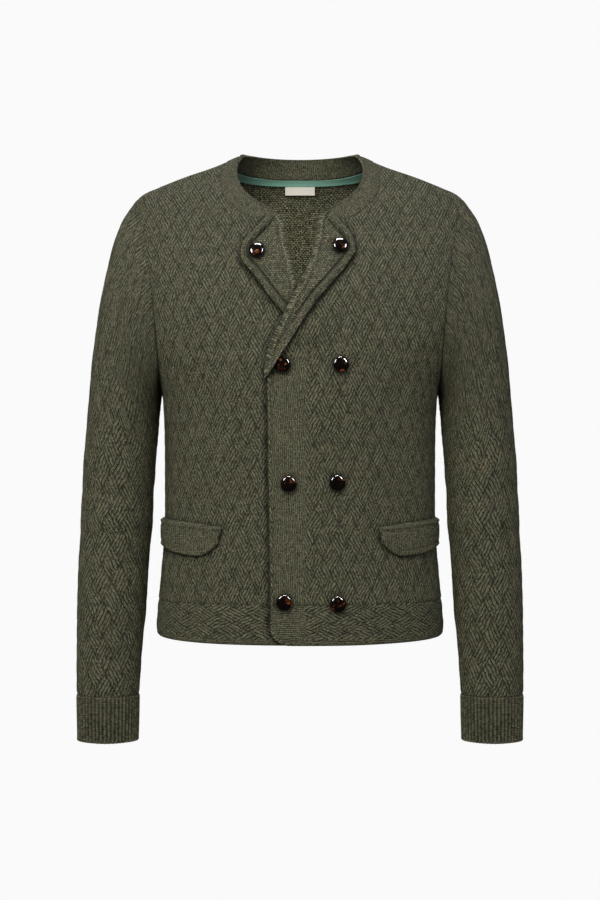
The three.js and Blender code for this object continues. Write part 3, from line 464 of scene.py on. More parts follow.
def cloth(name, rows, columns, shape, ring=False, coarser=4):
    """A closed wall of knit: a fine face, a coarser inside, and a rim that joins them.

    shape(u, v) takes grids from 0 to 1 and gives the points of the face and of the inside
    in millimetres, the places in the knit across and along, and the share of cabling.
    """
    u, v = np.meshgrid(np.linspace(0, 1, columns + 1), np.linspace(0, 1, rows + 1))
    face, inside, across, along, share = shape(u, v)
    knit = stack(across, along, share)
    bm = bmesh.new()
    places = bm.loops.layers.uv.new(KNIT_MAP)
    shares = bm.verts.layers.float_vector.new("knit_place")
    ends = ([], [])
    for points, step, material in ((face, 1, 0), (inside, coarser, 1)):
        first_face = len(bm.faces)
        made = bmesh.ops.create_grid(
            bm, x_segments=columns // step, y_segments=rows // step, size=0.5, calc_uvs=True)
        verts = made["verts"]
        spots = (points[::step, ::step] * MM).reshape(-1, 3).tolist()
        knits = knit[::step, ::step].reshape(-1, 3).tolist()
        for vert, spot, place in zip(verts, spots, knits):
            vert.co = spot
            vert[shares] = place
        bm.faces.ensure_lookup_table()
        faces = bm.faces[first_face:]
        for made_face in faces:
            made_face.material_index = material
        if material:
            bmesh.ops.reverse_faces(bm, faces=faces)
        wide = columns // step + 1
        ends[0].extend(verts[:wide])
        ends[1].extend(verts[-wide:])
        if ring:
            seam = verts[::wide] + verts[wide - 1::wide]
            bmesh.ops.remove_doubles(bm, verts=seam, dist=1e-6)
    open_edges = [edge for edge in bm.edges if edge.is_boundary]
    if ring:
        groups = [{vert for vert in end if vert.is_valid} for end in ends]
        loops = [[e for e in open_edges if set(e.verts) <= group] for group in groups]
    else:
        loops = [open_edges]
    for loop_edges in loops:
        for rim_face in bmesh.ops.bridge_loops(bm, edges=loop_edges)["faces"]:
            for corner in rim_face.loops:
                corner[places].uv = (-1, -1)
    bmesh.ops.recalc_face_normals(bm, faces=bm.faces[:])
    mesh = bpy.data.meshes.new(name)
    bm.to_mesh(mesh)
    bm.free()
    lay_knit(mesh, across, along)
    mesh.shade_smooth()
    mesh.set_sharp_from_angle(angle=math.radians(62))
    return show(name, mesh)


def lay_knit(mesh, across, along):
    """Turn the grid's own UVs into millimetres of knit, and store the cabling's share."""
    rows, columns = across.shape[0] - 1, across.shape[1] - 1
    corners = len(mesh.loops)
    grid = np.empty(2 * corners, np.float32)
    layer = mesh.uv_layers[KNIT_MAP].uv
    layer.foreach_get("vector", grid)
    grid = grid.reshape(-1, 2)
    vertex = np.empty(corners, np.int32)
    mesh.loops.foreach_get("vertex_index", vertex)
    stored = np.empty(3 * len(mesh.vertices), np.float32)
    mesh.attributes["knit_place"].data.foreach_get("vector", stored)
    stored = stored.reshape(-1, 3)
    i = np.clip(np.rint(grid[:, 1] * rows), 0, rows).astype(int)
    j = np.clip(np.rint(grid[:, 0] * columns), 0, columns).astype(int)
    on_rim = grid[:, :1] < -0.5
    placed = np.where(on_rim, stored[vertex, :2], stack(across[i, j], along[i, j]))
    layer.foreach_set("vector", placed.astype(np.float32).ravel())
    mesh.attributes.remove(mesh.attributes["knit_place"])
    share = mesh.attributes.new(CABLE_AND_HIGHLIGHT_SHARE, "FLOAT", "POINT")
    share.data.foreach_set("value", np.ascontiguousarray(stored[:, 2]))


def show(name, data):
    piece = bpy.data.objects.new(name, data)
    bpy.context.scene.collection.objects.link(piece)
    return piece


def dress(piece, node, materials):
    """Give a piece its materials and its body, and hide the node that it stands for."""
    for material in materials:
        piece.data.materials.append(material)
    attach(piece, "root")
    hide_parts(node)


def sew(name, node, slot, shape, yarns, size, held="hung", rests_on=(), **mesh):
    """Make a sheet of cloth, with the looks of its face and inside, meshed by the rows
    and columns of its cut.
    """
    rows, columns, width, length, area = CUTS[size]
    piece = cloth(name, rows, columns, shape, **mesh)
    dress(piece, node, [shared(maker) for maker in yarns])


# ---------------------------------------------------------------- body panels

PANEL_ROWS = 28.0  # steps up a panel: 14 to the underarm, and 14 along the armhole
SIDE_STEPS, ARMHOLE_STEPS = 14.0, 14.0
FRONT_EDGE_STEPS, ROLL_STEPS, NECK_STEPS = 12.0, 10.0, 6.0
FOOT_Z = HEM_SEAM_Z + SEAM / 2
TOP_REACH = 200.0  # about the length of the cloth over the last part of a panel


def armhole_turn(t):
    """The armhole seam, from the shoulder point (0) to the underarm (1)."""
    z = lerp(SHOULDER_Z, UNDERARM_Z, (1 - np.cos(np.pi * t)) / 2)
    turn = np.where((t > 0) & (t < 1), turn_of(sample(ARMHOLE, "x", z), z), 1.0)
    return turn, z


def armhole_out(points, out):
    """Direction out of the cloth beside the armhole seam, shared by sleeve and body."""
    middle = np.array([ARMHOLE_MIDDLE_X, 0, (SHOULDER_Z + UNDERARM_Z) / 2])
    return unit(out + unit(points - middle))


def side_edge(step):
    """Outer side of a panel: the side seam, then the armhole seam."""
    turn, z = armhole_turn(1 - np.clip((step - SIDE_STEPS) / ARMHOLE_STEPS, 0, 1))
    below = step <= SIDE_STEPS
    seam_z = lerp(FOOT_Z, UNDERARM_Z, step / SIDE_STEPS)
    return np.where(below, 1.0, turn), np.where(below, seam_z, z)


def front_edge(step, roll):
    """Inner side of a front: its edge, the roll line, then the neckband's seam."""
    t = np.clip(step / FRONT_EDGE_STEPS, 0, 1)
    on_roll = 1 - np.clip((step - FRONT_EDGE_STEPS) / ROLL_STEPS, 0, 1)
    on_neck = np.clip((step - FRONT_EDGE_STEPS - ROLL_STEPS) / NECK_STEPS, 0, 1)
    parts = [step <= FRONT_EDGE_STEPS, step <= FRONT_EDGE_STEPS + ROLL_STEPS]
    edge = lerp(-FRONT_EDGE_FOOT, roll["x"][-1], t), lerp(FOOT_Z, LAPEL_FOOT_Z, t)
    lines = zip(edge, samples(roll, "x z", on_roll), samples(NECK_SEAM_FRONT, "x z", on_neck))
    return [np.select(parts, [low, middle], top) for low, middle, top in lines]


def front_border(x, z):
    """1 in the plain border beside a front's edge, below the lapel, and 0 in the cables."""
    border = fade(x + FRONT_EDGE_FOOT + 2, PLAIN_BORDER, PLAIN_BORDER_END)
    return border * fade(z, LAPEL_FOOT_Z, LAPEL_FOOT_Z + 45)


def front_shape(side, roll, free_edge):
    def shape(u, v):
        u = 0.7 * u + 0.3 * u * u  # closer columns beside the front edge
        step = v * PANEL_ROWS
        edge_x, edge_z = front_edge(step, roll)
        far_turn, far_z = side_edge(step)
        turn = lerp(turn_of(edge_x, edge_z), far_turn, u)
        z = lerp(edge_z, far_z, u)
        points, out = body_spot(turn, z)
        by_armhole = smoothstep(u, 0.9, 1) * (step > SIDE_STEPS)
        out = unit(lerp(out, armhole_out(points, out), by_armhole[..., None]))
        x = points[..., 0]
        from_seam = np.minimum(arc_length(far_turn, z) - arc_length(turn, z), (1 - v) * TOP_REACH)
        from_edge = np.hypot(x - edge_x, z - edge_z)
        across, along = side * arc_length(turn, z), climb(z)
        share = 1 - front_border(x, z)
        below_lapel = step < FRONT_EDGE_STEPS
        # painted highlight: edge stitches are marked to be lighter in colour
        painted_highlight_edge = (from_edge > EDGE_START) & (from_edge < EDGE_STITCH) & below_lapel
        calm = share * (button_calm(x, z) if side > 0 else 1) * smoothstep(from_seam, 0, SEAM_CALM)
        calm = calm * np.where(below_lapel, 1, smoothstep(from_edge, 4, 10))
        rise = cabled(across, along) * calm + beside_lapel(x, z, free_edge)
        rise = rise + seam_dip(from_seam) + seam_dip(z - FOOT_Z, 0.7, 3)
        roll_dip = -1.2 * fade(from_edge, 1, 6)
        rise = rise + np.where(below_lapel, edge_form(from_edge, 1.3), roll_dip)
        if side < 0:
            rise = rise + beside_front_edge(x, z)
        lift = front_lift(x, z, side)
        both = walls(points, out, lift + rise, lift - WALL, side, -SEAM / 2)
        return *both, across, along, np.where(painted_highlight_edge, EDGE_HIGHLIGHT_SHARE, share)
    return shape


def back_top(u):
    """Upper edge of the back: shoulder seam, neckband seam and shoulder seam."""
    shoulder_steps, neck_steps = 12, 11
    spread = 2 * u - 1
    inward = (1 - np.abs(spread)) * (shoulder_steps + neck_steps)
    on_shoulder = inward <= shoulder_steps
    t = np.clip((inward - shoulder_steps) / neck_steps, 0, 1)
    neck_x, neck_z = samples(NECK_SEAM_BACK, "x z", t)
    shoulder_z = lerp(NECK_SEAM_Z, SHOULDER_Z, 1 - np.clip(inward / shoulder_steps, 0, 1))
    turn = np.sign(spread) * np.where(on_shoulder, 1.0, turn_of(neck_x, neck_z))
    return turn, np.where(on_shoulder, shoulder_z, neck_z)


def back_shape(u, v):
    step = v * PANEL_ROWS
    top_turn, top_z = back_top(u)
    far_turn, far_z = side_edge(step)
    spread = 2 * u - 1
    turn = np.clip(spread * (far_turn - v) + v * top_turn, -1, 1)
    z = lerp(FOOT_Z, top_z, v) + far_z - lerp(FOOT_Z, SHOULDER_Z, v)
    points, out = body_spot(turn, z, True)
    mirror = stack(np.where(spread < 0, -1.0, 1.0), 1, 1)
    leaning = armhole_out(points * mirror, out * mirror) * mirror
    by_armhole = smoothstep(np.abs(spread), 0.93, 1) * (step > SIDE_STEPS)
    out = unit(lerp(out, leaning, by_armhole[..., None]))
    across, along = -arc_length(turn, z, True), climb(z, True)
    nearest = np.minimum(arc_length(far_turn, z, True) - np.abs(across), (1 - v) * TOP_REACH)
    x = points[..., 0]
    folds = 1.2 * np.sin(x / 46 + 0.6) * bulge(z + 470, 90)
    folds = folds - 1.4 * np.exp(-((np.abs(x) - 120) / 16) ** 2 - ((z + 300) / 70) ** 2)
    folds = folds * (smoothstep(nearest, 0, 30) * smoothstep(z - FOOT_Z, 0, 30))
    rise = cabled(across, along) * smoothstep(nearest, 0, SEAM_CALM) + seam_dip(nearest)
    rise = rise + seam_dip(z - FOOT_Z, 0.7, 3)
    both = walls(points, out, rise + folds, folds - WALL, shift=SEAM / 2)
    return *both, across, along, np.ones_like(z)


def hem_shape(side, back):
    start_x = -FRONT_EDGE_FOOT
    top = HEM_SEAM_Z - SEAM / 2

    def shape(u, v):
        start = -1.0 if back else float(turn_of(start_x, HEM_SEAM_Z))
        turn = lerp(start, 1, u)
        x = body_spot(turn, top, back)[0][..., 0]
        from_edge = np.full_like(u, 1e3) if back else np.clip(x - start_x, 0, None)
        hem = HEM_SIDE_Z - HEM_DROP * np.cos(turn * np.pi / 2)
        z = lerp(top, hem + corner_cut(from_edge), v)
        points, out = body_spot(turn, z, back)
        from_hem = z - hem
        in_corner = (from_edge < HEM_CORNER) & (from_hem < HEM_CORNER)
        away = np.hypot(HEM_CORNER - from_edge, HEM_CORNER - from_hem)
        free = np.where(in_corner, HEM_CORNER - away, np.minimum(from_edge, from_hem))
        on_panel = arc_length(turn, z, back)
        from_side = np.abs(arc_length(np.ones_like(turn), z, back) - np.abs(on_panel))
        across, along = (-1 if back else side) * on_panel, z - HEM_SEAM_Z
        share = smoothstep(from_hem, 6, 8) * (1 if back else 1 - front_border(x, z))
        calm = share * (button_calm(x, z) if side > 0 and not back else 1)
        calm = calm * smoothstep(top - z, 0, 4) * smoothstep(from_side, 0, 5)
        curl = 2.6 * fade(from_hem, 0, 8) ** 2
        rise = cabled(along, across) * calm + edge_form(free, 0.8, 3.4) - curl
        if side < 0 and not back:
            rise = rise + beside_front_edge(x, z)
        rise = rise + seam_dip(top - z, 0.7, 3) + seam_dip(from_side)
        lift = 0 if back else front_lift(x, z, side)
        shift = SEAM / 2 if back else -SEAM / 2
        both = walls(points, out, lift + rise, lift - WALL, side, shift)
        # painted highlight: edge stitches are marked to be lighter in colour
        painted_highlight_edge = (free > EDGE_START) & (free < EDGE_STITCH) & (from_edge < 60)
        return *both, along, across, np.where(painted_highlight_edge, EDGE_HIGHLIGHT_SHARE, share)
    return shape


# ---------------------------------------------------------------- sleeves

def ring_point(rows, at, turn):
    """A point of a sleeve's or cuff's ring, at a part of the turn from its outer end."""
    along = (1 - np.cos(2 * np.pi * turn)) / 2
    out_x, out_z, in_x, in_z, depth, mid = samples(rows, "out_x out_z in_x in_z depth mid", at)
    y = mid - depth * np.sin(2 * np.pi * turn)
    return stack(lerp(out_x, in_x, along), y, lerp(out_z, in_z, along))


def armhole_seam(turn):
    """Points of the armhole seam at parts of a sleeve's turn, and the way out there."""
    back = turn > 0.5
    on_body, z = armhole_turn(np.where(back, 2 - 2 * turn, 2 * turn))
    pairs = zip(body_spot(on_body, z), body_spot(on_body, z, True))
    points, out = (np.where(back[..., None], behind, before) for before, behind in pairs)
    return points, armhole_out(points, out)


def tube_point(rows, at, turn):
    points = ring_point(rows, at, turn)
    if rows is SLEEVE:
        stray = armhole_seam(turn)[0] - ring_point(rows, 0 * at, turn)
        points = points + stray * fade(at, 0, 7)[..., None]
    return points


def tube(rows, at, turn):
    """Points of a sleeve or cuff with the way out, the girth and the length down it."""
    last = rows["at"][-1]
    points = tube_point(rows, at, turn)
    small = 1e-3
    round_it = tube_point(rows, at, (turn + small) % 1) - tube_point(rows, at, (turn - small) % 1)
    low, high = np.minimum(at + small * last, last), np.maximum(at - small * last, 0)
    down = tube_point(rows, low, turn) - tube_point(rows, high, turn)
    out = unit(np.cross(round_it, down))
    girth = travelled(points, 1)
    length = travelled(points.mean(axis=1), 0)[:, None]
    return points, out, girth - girth[:, -1:] / 2, np.broadcast_to(length, at.shape)


def sleeve_shape(side):
    def shape(u, v):
        at = v * SLEEVE["at"][-1]
        turn = (u + 0.5) % 1
        points, out, across, down = tube(SLEEVE, at, turn)
        by_seam = fade(at, 0, 2)
        out = unit(lerp(out, armhole_seam(turn)[1], by_seam[..., None]))
        folds = np.zeros_like(u)
        for place, angle, half_length, half_round, height in SLEEVE_CREASES:
            aside = (360 * turn - angle) / 360 * FOLD_ROUND
            along = (down - place) / half_length
            folds += height * np.exp(-along ** 2 - (aside / half_round) ** 2)
        length = down[-1, 0]
        folds = folds * smoothstep(down, 20, 80) * smoothstep(length - down, 4, 30)
        knit_across = side * across / (SLEEVE_WIDTH / CABLE_WIDTH)
        knit_along = -down / (SLEEVE_HEIGHT / CABLE_HEIGHT)
        ends = np.minimum(down, length - down)
        under = np.abs(across[:, -1:]) - np.abs(across)
        rise = cabled(knit_across, knit_along) * smoothstep(np.minimum(ends, under), 0, 5)
        rise = rise + seam_dip(ends) + seam_dip(under, 0.7, 3)
        both = walls(points, out, rise + folds, folds - WALL)
        away = unit(np.diff(points, axis=0, append=points[-1:]) + 1e-9)
        for wall in both:
            wall += away * (SEAM * by_seam)[..., None]
            wall[-1, :, 2] += SEAM / 2
            wall[:, -1] = wall[:, 0]
            wall[..., 0] *= side
        return *both, knit_across, knit_along, np.ones_like(u)
    return shape


def cuff_shape(side):
    def shape(u, v):
        at = v * CUFF["at"][-1]
        points, out, _, down = tube(CUFF, at, (u + 0.5) % 1)
        wave = np.cos(2 * np.pi * CUFF_RIBS * u)
        rib = np.sign(wave) * np.abs(wave) ** 0.7
        gather = 0.5 * np.sin(2 * np.pi * 5 * u + 3 * v) * v
        flat_start = smoothstep(down, 0, 3)
        free = down[-1, 0] - down
        rib_rise = bpy.context.scene.cardigan_knit.cuff_rib / MM
        rise = rib_rise * rib * flat_start + gather - 0.5 + 0.35 * fade(free, 1, 5)
        rise = rise - 0.8 * fade(free, 0, 1.6) - 0.4 * (1 - flat_start)
        both = walls(points, out, rise, gather - WALL)
        for wall in both:
            wall[0, :, 2] -= SEAM / 2
            wall[:, -1] = wall[:, 0]
            wall[..., 0] *= side
        return *both, u * CUFF_RIBS, -down, rib
    return shape


# ---------------------------------------------------------------- lapels, neckband, flaps

def lapel_shape(side, roll, free_edge, roll_end):
    def shape(u, v):
        line = stack(*samples(roll, "x z", v * roll_end))
        free = stack(*samples(free_edge, "x z", v))
        past = unit(line - free)
        section = np.clip(u / ROLL_PART, 0, 1) * ROLL_SECTION["at"][-1]
        flat = np.clip((u - ROLL_PART) / (1 - ROLL_PART), 0, 1)
        on_panel = lerp(line, free, flat[..., None])
        x, z = on_panel[..., 0], on_panel[..., 1]
        from_free = outline_distance(x, z, *samples(free_edge, "x z", np.linspace(0, 1, 160)))
        from_roll = np.linalg.norm(on_panel - line, axis=-1)
        puff = LAPEL_PUFF * np.sin(np.pi * np.clip(from_free / LAPEL_BAND, 0, 1)) ** 0.8
        groove = -LAPEL_GROOVE * bulge(from_free - LAPEL_BAND - 0.4, 1.5)
        wide_enough = smoothstep(np.linalg.norm(line - free, axis=-1), 12, 26)
        relief = puff + groove + rounded(from_free, 1.0, 1.8)
        relief = relief * smoothstep(flat, 0, 0.12) * wide_enough
        relief = relief + 0.9 * bulge(from_roll - 2.2, 1.5) * (flat > 0)
        relief = relief - 0.8 * bulge(from_roll - 5.6, 1.3)
        for _, button_x, button_z, on in BUTTONS:
            if on == "lapel" and button_x * side > 0:
                away = np.hypot(x - abs(button_x), z - button_z)
                relief = relief * smoothstep(away, 9, 14)
        stand = TAIL_RISE * flat * smoothstep(v, 0.8, 0.9) if side > 0 else 0 * flat
        on_roll = front_lift(line[..., 0], line[..., 1], side)
        lift = np.where(flat > 0, front_lift(x, z, side), on_roll)
        both = []
        for name, height in (("out", relief), ("in", 0 * u)):
            spread, up = samples(ROLL_SECTION, f"{name}_s {name}_h", section)
            place = on_panel + past * (spread * (flat <= 0))[..., None]
            points, out = spot_at(place[..., 0], place[..., 1])
            wall = points + out * (lift + (up + height + stand))[..., None]
            wall[..., 0] *= side
            both.append(wall)
        inner = from_free > LAPEL_BAND + 0.6
        across = np.where(inner, side * x, from_free)
        along = np.where(inner, z, travelled(free, 0))
        # painted highlight: stitches beside the roll and the free edge are marked to be lighter
        painted_highlight_edge = (flat > 0) & (from_roll < EDGE_STITCH)
        painted_highlight_edge = painted_highlight_edge | (from_free > EDGE_START) & (from_free < 2.2)
        return *both, across, along, np.where(painted_highlight_edge, EDGE_HIGHLIGHT_SHARE, inner * 1.0)
    return shape


def neck_line(u):
    """Seam and free edge of the neckband, from the left lapel over the back to the right."""
    half = 1 - np.abs(2 * u - 1)
    t_front = np.clip(half / NECK_FRONT_PART, 0, 1)
    t_back = np.clip((half - NECK_FRONT_PART) / (1 - NECK_FRONT_PART), 0, 1)
    on_front = (half <= NECK_FRONT_PART)[..., None]
    lines = []
    for seam, edge, t, back in ((NECK_SEAM_FRONT, NECK_EDGE_FRONT, t_front, False),
                                (NECK_SEAM_BACK, NECK_EDGE_BACK, t_back, True)):
        on_seam = spot_at(*samples(seam, "x z", t), back)
        lines.append((*on_seam, stack(*samples(edge, "x y z", t))))
    mirror = stack(np.where(u > 0.5, -1.0, 1.0), 1, 1)
    return [np.where(on_front, front, back) * mirror for front, back in zip(*lines)]


def eased(points, reach=9):
    """Points along the rows with their corners rounded, and their ends kept."""
    weights = np.hanning(2 * reach + 3)[1:-1]
    head = 2 * points[:, :1] - points[:, reach:0:-1]
    tail = 2 * points[:, -1:] - points[:, -2:-reach - 2:-1]
    padded = np.concatenate([head, points, tail], axis=1)
    columns = points.shape[1]
    total = sum(weight * padded[:, i:i + columns] for i, weight in enumerate(weights))
    return total / weights.sum()


def neckband_shape(u, v):
    seam, seam_out, edge = neck_line(u)
    edge = eased(edge)
    up = edge - seam
    width = np.linalg.norm(up, axis=-1)
    edge_out = unit(np.cross(np.gradient(edge, axis=1), up))
    facing = np.sign((edge_out * seam_out).sum(-1, keepdims=True))
    out = unit(eased(lerp(seam_out, edge_out * facing, v[..., None])))
    on_band = lerp(seam, edge, v[..., None]) + unit(up) * (0.4 * SEAM * (1 - v))[..., None]
    from_free = width * (1 - v)
    rolled = 0.9 * np.sin(np.pi * np.clip(from_free / NECK_ROLL, 0, 1)) ** 0.8
    groove = -0.5 * bulge(from_free - NECK_ROLL - 0.5, 1.1)
    puff = 0.6 * np.sin(np.pi * v)
    rise = rolled + groove + seam_dip(width * v, 0.6, 3) + puff + rounded(from_free, 0.7, 1.2)
    both = walls(on_band, out, rise, puff - WALL - 0.4 * v)
    return *both, travelled(edge, 1), -from_free, np.zeros_like(u)


def flap_shape(side):
    def shape(u, v):
        x, top, bottom, slant = samples(FLAP_EDGES, "x top bottom slant", u)
        z = lerp(top, bottom, v)
        x = x + slant * v
        points, out = spot_at(np.minimum(x, sample(BODY, "half", z) - FLAP_SIDE_INSET), z)
        stops = np.linspace(0, 1, 120)
        edge_x, _, edge_z, edge_slant = samples(FLAP_EDGES, "x top bottom slant", stops)
        end_x, end_top, end_bottom, end_slant = samples(FLAP_EDGES, "x top bottom slant", 0.0)
        line_x = np.concatenate([edge_x + edge_slant, end_x + end_slant * stops])
        line_z = np.concatenate([edge_z, lerp(end_top, end_bottom, stops)])
        from_free = outline_distance(x, z, line_x, line_z)
        puff = FLAP_PUFF * np.sin(np.pi * (0.2 + 0.75 * v))
        down = FLAP_HEIGHT * v
        welt = 0.7 * bulge(down - 3.2, 1.9) - 0.8 * bulge(down - 7.5, 1.6)
        sewn_in = -2.6 * fade(v, 0, 0.1)
        relief = puff + welt + sewn_in + edge_form(from_free, 0.5, 4.2)
        base = front_lift(x, z, side) + FLAP_CLEARANCE
        both = walls(points, out, base + WALL + relief, base, side)
        return *both, side * x, z, np.zeros_like(u)
    return shape


# ---------------------------------------------------------------- materials

def linear(colour):
    """An sRGB hex value such as "4d4d3f" as linear red, green, blue and alpha."""
    channels = [int(colour[i:i + 2], 16) / 255 for i in (0, 2, 4)]
    return [c / 12.92 if c <= 0.04045 else ((c + 0.055) / 1.055) ** 2.4 for c in channels] + [1.0]


def feed(tree, node, feeds):
    """Set a node's inputs, or link them where a feed is a socket or a node, of which the
    first output is used."""
    for key, value in feeds.items():
        if isinstance(value, bpy.types.Node):
            value = value.outputs[0]
        if isinstance(value, bpy.types.NodeSocket):
            tree.links.new(value, node.inputs[key])
        else:
            node.inputs[key].default_value = value


def add(tree, kind, feeds=None, **settings):
    """Add one node with its settings and its inputs."""
    node = tree.nodes.new("ShaderNode" + kind)
    for name, value in settings.items():
        setattr(node, name, value)
    feed(tree, node, feeds or {})
    return node


def start_material(name):
    material = bpy.data.materials.new(name)
    material.use_nodes = True
    tree = material.node_tree
    tree.nodes.clear()
    shader = add(tree, "BsdfPrincipled")
    add(tree, "OutputMaterial", {"Surface": shader})
    return material, tree, shader


def ramp(tree, factor, *stops):
    """A colour ramp whose stops are pairs of a place and an sRGB hex colour."""
    node = add(tree, "ValToRGB", {0: factor})
    band = node.color_ramp
    while len(band.elements) < len(stops):
        band.elements.new(1.0)
    for element, (place, colour) in zip(band.elements, stops):
        element.position = place
        element.color = linear(colour)
    return node


def cable_cells(tree, place):
    """Stitch cells that follow the strip on top in a basket of diagonal strips, as columns
    and rows of stitches, and the strips' crown, from 0 where two strips meet to 1."""
    root = math.sqrt(2)
    skewed = add(tree, "Mapping", {
        "Vector": place, "Rotation": (0, 0, -math.pi / 4),
        "Scale": (root / CABLE_WIDTH, root / CABLE_HEIGHT, 1)})
    whole = add(tree, "VectorMath", {0: skewed}, operation="FLOOR")
    part = add(tree, "VectorMath", {0: skewed}, operation="FRACTION")
    cells = add(tree, "SeparateXYZ", {0: whole})
    both = add(tree, "Math", {0: cells, 1: cells.outputs[1]}, operation="ADD")
    over = add(tree, "Math", {0: both, 1: 2.0}, operation="FLOORED_MODULO")
    axes = add(tree, "SeparateXYZ", {0: skewed})
    swapped = add(tree, "CombineXYZ", {0: axes.outputs[1], 1: axes})
    strip = add(tree, "Mix", {0: over, 4: swapped, 5: skewed}, data_type="VECTOR").outputs[1]
    size = (STRIP_RIBS, STRIP_STITCHES, 1)
    stitches = add(tree, "VectorMath", {0: strip, 1: size}, operation="MULTIPLY")
    angle = add(tree, "VectorMath", {0: part, 1: (math.pi, math.pi, 0)}, operation="MULTIPLY")
    halves = add(tree, "SeparateXYZ", {0: add(tree, "VectorMath", {0: angle}, operation="SINE")})
    crown = add(tree, "Math", {0: halves, 1: halves.outputs[1]}, operation="MULTIPLY")
    return stitches, crown


def plain_cells(tree, place, width, height):
    """Cells of plain knit: columns and rows of stitches of one size."""
    size = (1 / width, 1 / height, 1)
    return add(tree, "VectorMath", {0: place, 1: size}, operation="MULTIPLY")


def purl_cells(tree, place, width, height):
    """Cells of purl bumps, with every second row shifted by half a bump."""
    parts = add(tree, "SeparateXYZ", {0: plain_cells(tree, place, width, height)})
    row = add(tree, "Math", {0: parts.outputs[1]}, operation="FLOOR")
    shifted = add(tree, "Math", {0: row, 1: 0.5, 2: parts}, operation="MULTIPLY_ADD")
    return add(tree, "CombineXYZ", {0: shifted, 1: parts.outputs[1]})


def yarn(tree, shader, cells, place, crown=None, slant=0.9, gap=0.0, row_gap=0.65, melange=1.0,
         lightness=1.0):
    """Colour and relief of knitted melange yarn. Each cell is one stitch: a rounded column
    of slanted legs, with painted shade in the gaps between columns and rows and its own
    mix of fibres. The lightness also carries painted highlights and painted light."""
    knit = bpy.context.scene.cardigan_knit
    parts = add(tree, "SeparateXYZ", {0: cells})
    column = add(tree, "Math", {0: parts, 1: 0.5}, operation="PINGPONG")
    leg = add(tree, "Math", {0: column, 1: slant, 2: parts.outputs[1]}, operation="MULTIPLY_ADD")
    row = add(tree, "Math", {0: leg, 1: 0.5}, operation="PINGPONG")
    patches = add(tree, "TexNoise", {"Vector": place, "Scale": 0.045, "Detail": 2.0})
    # painted shade: the gaps between stitches are darkened in the colour, deeper in some patches
    varied_gap_shade = add(tree, "MapRange", {0: patches, 1: 0.44, 2: 0.68, 3: gap, 4: gap + 0.3})
    on_column = add(tree, "MapRange", {0: column, 1: 0.04, 2: 0.2, 3: varied_gap_shade, 4: 1.0},
                    interpolation_type="SMOOTHSTEP")
    on_row = add(tree, "MapRange", {0: row, 1: 0.0, 2: 0.3, 3: row_gap, 4: 1.0},
                 interpolation_type="SMOOTHSTEP")
    height = add(tree, "Math", {0: on_column, 1: on_row}, operation="MULTIPLY")
    twice = add(tree, "Math", {0: parts, 1: 2.0}, operation="MULTIPLY")
    leg_column = add(tree, "Math", {0: twice}, operation="FLOOR")
    leg_row = add(tree, "Math", {0: leg}, operation="FLOOR")
    own_mix = add(tree, "TexWhiteNoise", {
        0: add(tree, "CombineXYZ", {0: leg_column, 1: leg_row})})
    fibres = add(tree, "TexNoise", {
        "Vector": place, "Scale": 0.85, "Detail": 2.0, "Roughness": 0.85})
    blend = add(tree, "Math", {0: fibres, 1: 4.2, 2: own_mix}, operation="MULTIPLY_ADD")
    middle, spread = 2.6, 0.78 / melange
    tone = add(tree, "MapRange", {0: blend, 1: middle - spread, 2: middle + spread})
    colour = ramp(tree, tone, (0.0, to_hex(knit.dark_fibre)), (0.42, to_hex(knit.main_fibre)),
                  (0.8, to_hex(knit.light_fibre)), (1.0, to_hex(knit.fleck)))
    tint = ramp(tree, patches, (0.35, "fafff6"), (0.65, "fffaf4"))
    tinted = add(tree, "VectorMath", {0: colour, 1: tint}, operation="MULTIPLY")
    # painted shade: an occlusion node darkens the colour in folds, furrows and under edges
    painted_occlusion = add(tree, "AmbientOcclusion", {"Distance": PAINTED_SHADE_REACH}, samples=8).outputs["AO"]
    shades = [height, add(tree, "Math", {0: painted_occlusion, 1: 1.6}, operation="POWER"), lightness]
    # painted shade where one strip dips under another, as the crown falls to 0
    if crown is not None:
        shades.append(add(tree, "MapRange", {0: crown, 1: 0.0, 2: 0.16, 3: 0.5, 4: 1.0}))
    shade = shades[0]
    for factor in shades[1:]:
        shade = add(tree, "Math", {0: shade, 1: factor}, operation="MULTIPLY")
    rough_height = add(tree, "Math", {0: fibres, 1: 0.8, 2: height}, operation="MULTIPLY_ADD")
    feed(tree, shader, {
        "Base Color": add(tree, "VectorMath", {0: tinted, 3: shade}, operation="SCALE"),
        "Normal": add(tree, "Bump", {
            "Height": rough_height, "Distance": YARN_RELIEF, "Strength": 1.0}),
        "Roughness": 0.92, "Specular IOR Level": 0.2, "Sheen Weight": 0.1,
        "Sheen Roughness": 0.5, "Sheen Tint": linear("b4b08c"),
    })


def to_hex(colour):
    """A colour property, which holds sRGB channels, as a hex value."""
    return "".join(f"{round(channel * 255):02x}" for channel in colour[:3])


def knit_place(tree, wander=5):
    """Millimetres across and along the knit, which wanders a little as handled cloth does."""
    place = add(tree, "UVMap", uv_map=KNIT_MAP)
    drift = add(tree, "TexNoise", {"Vector": place, "Scale": 0.06, "Detail": 2.0})
    return add(tree, "VectorMath", {0: drift.outputs["Color"], 1: (wander, wander, 0), 2: place},
               operation="MULTIPLY_ADD")


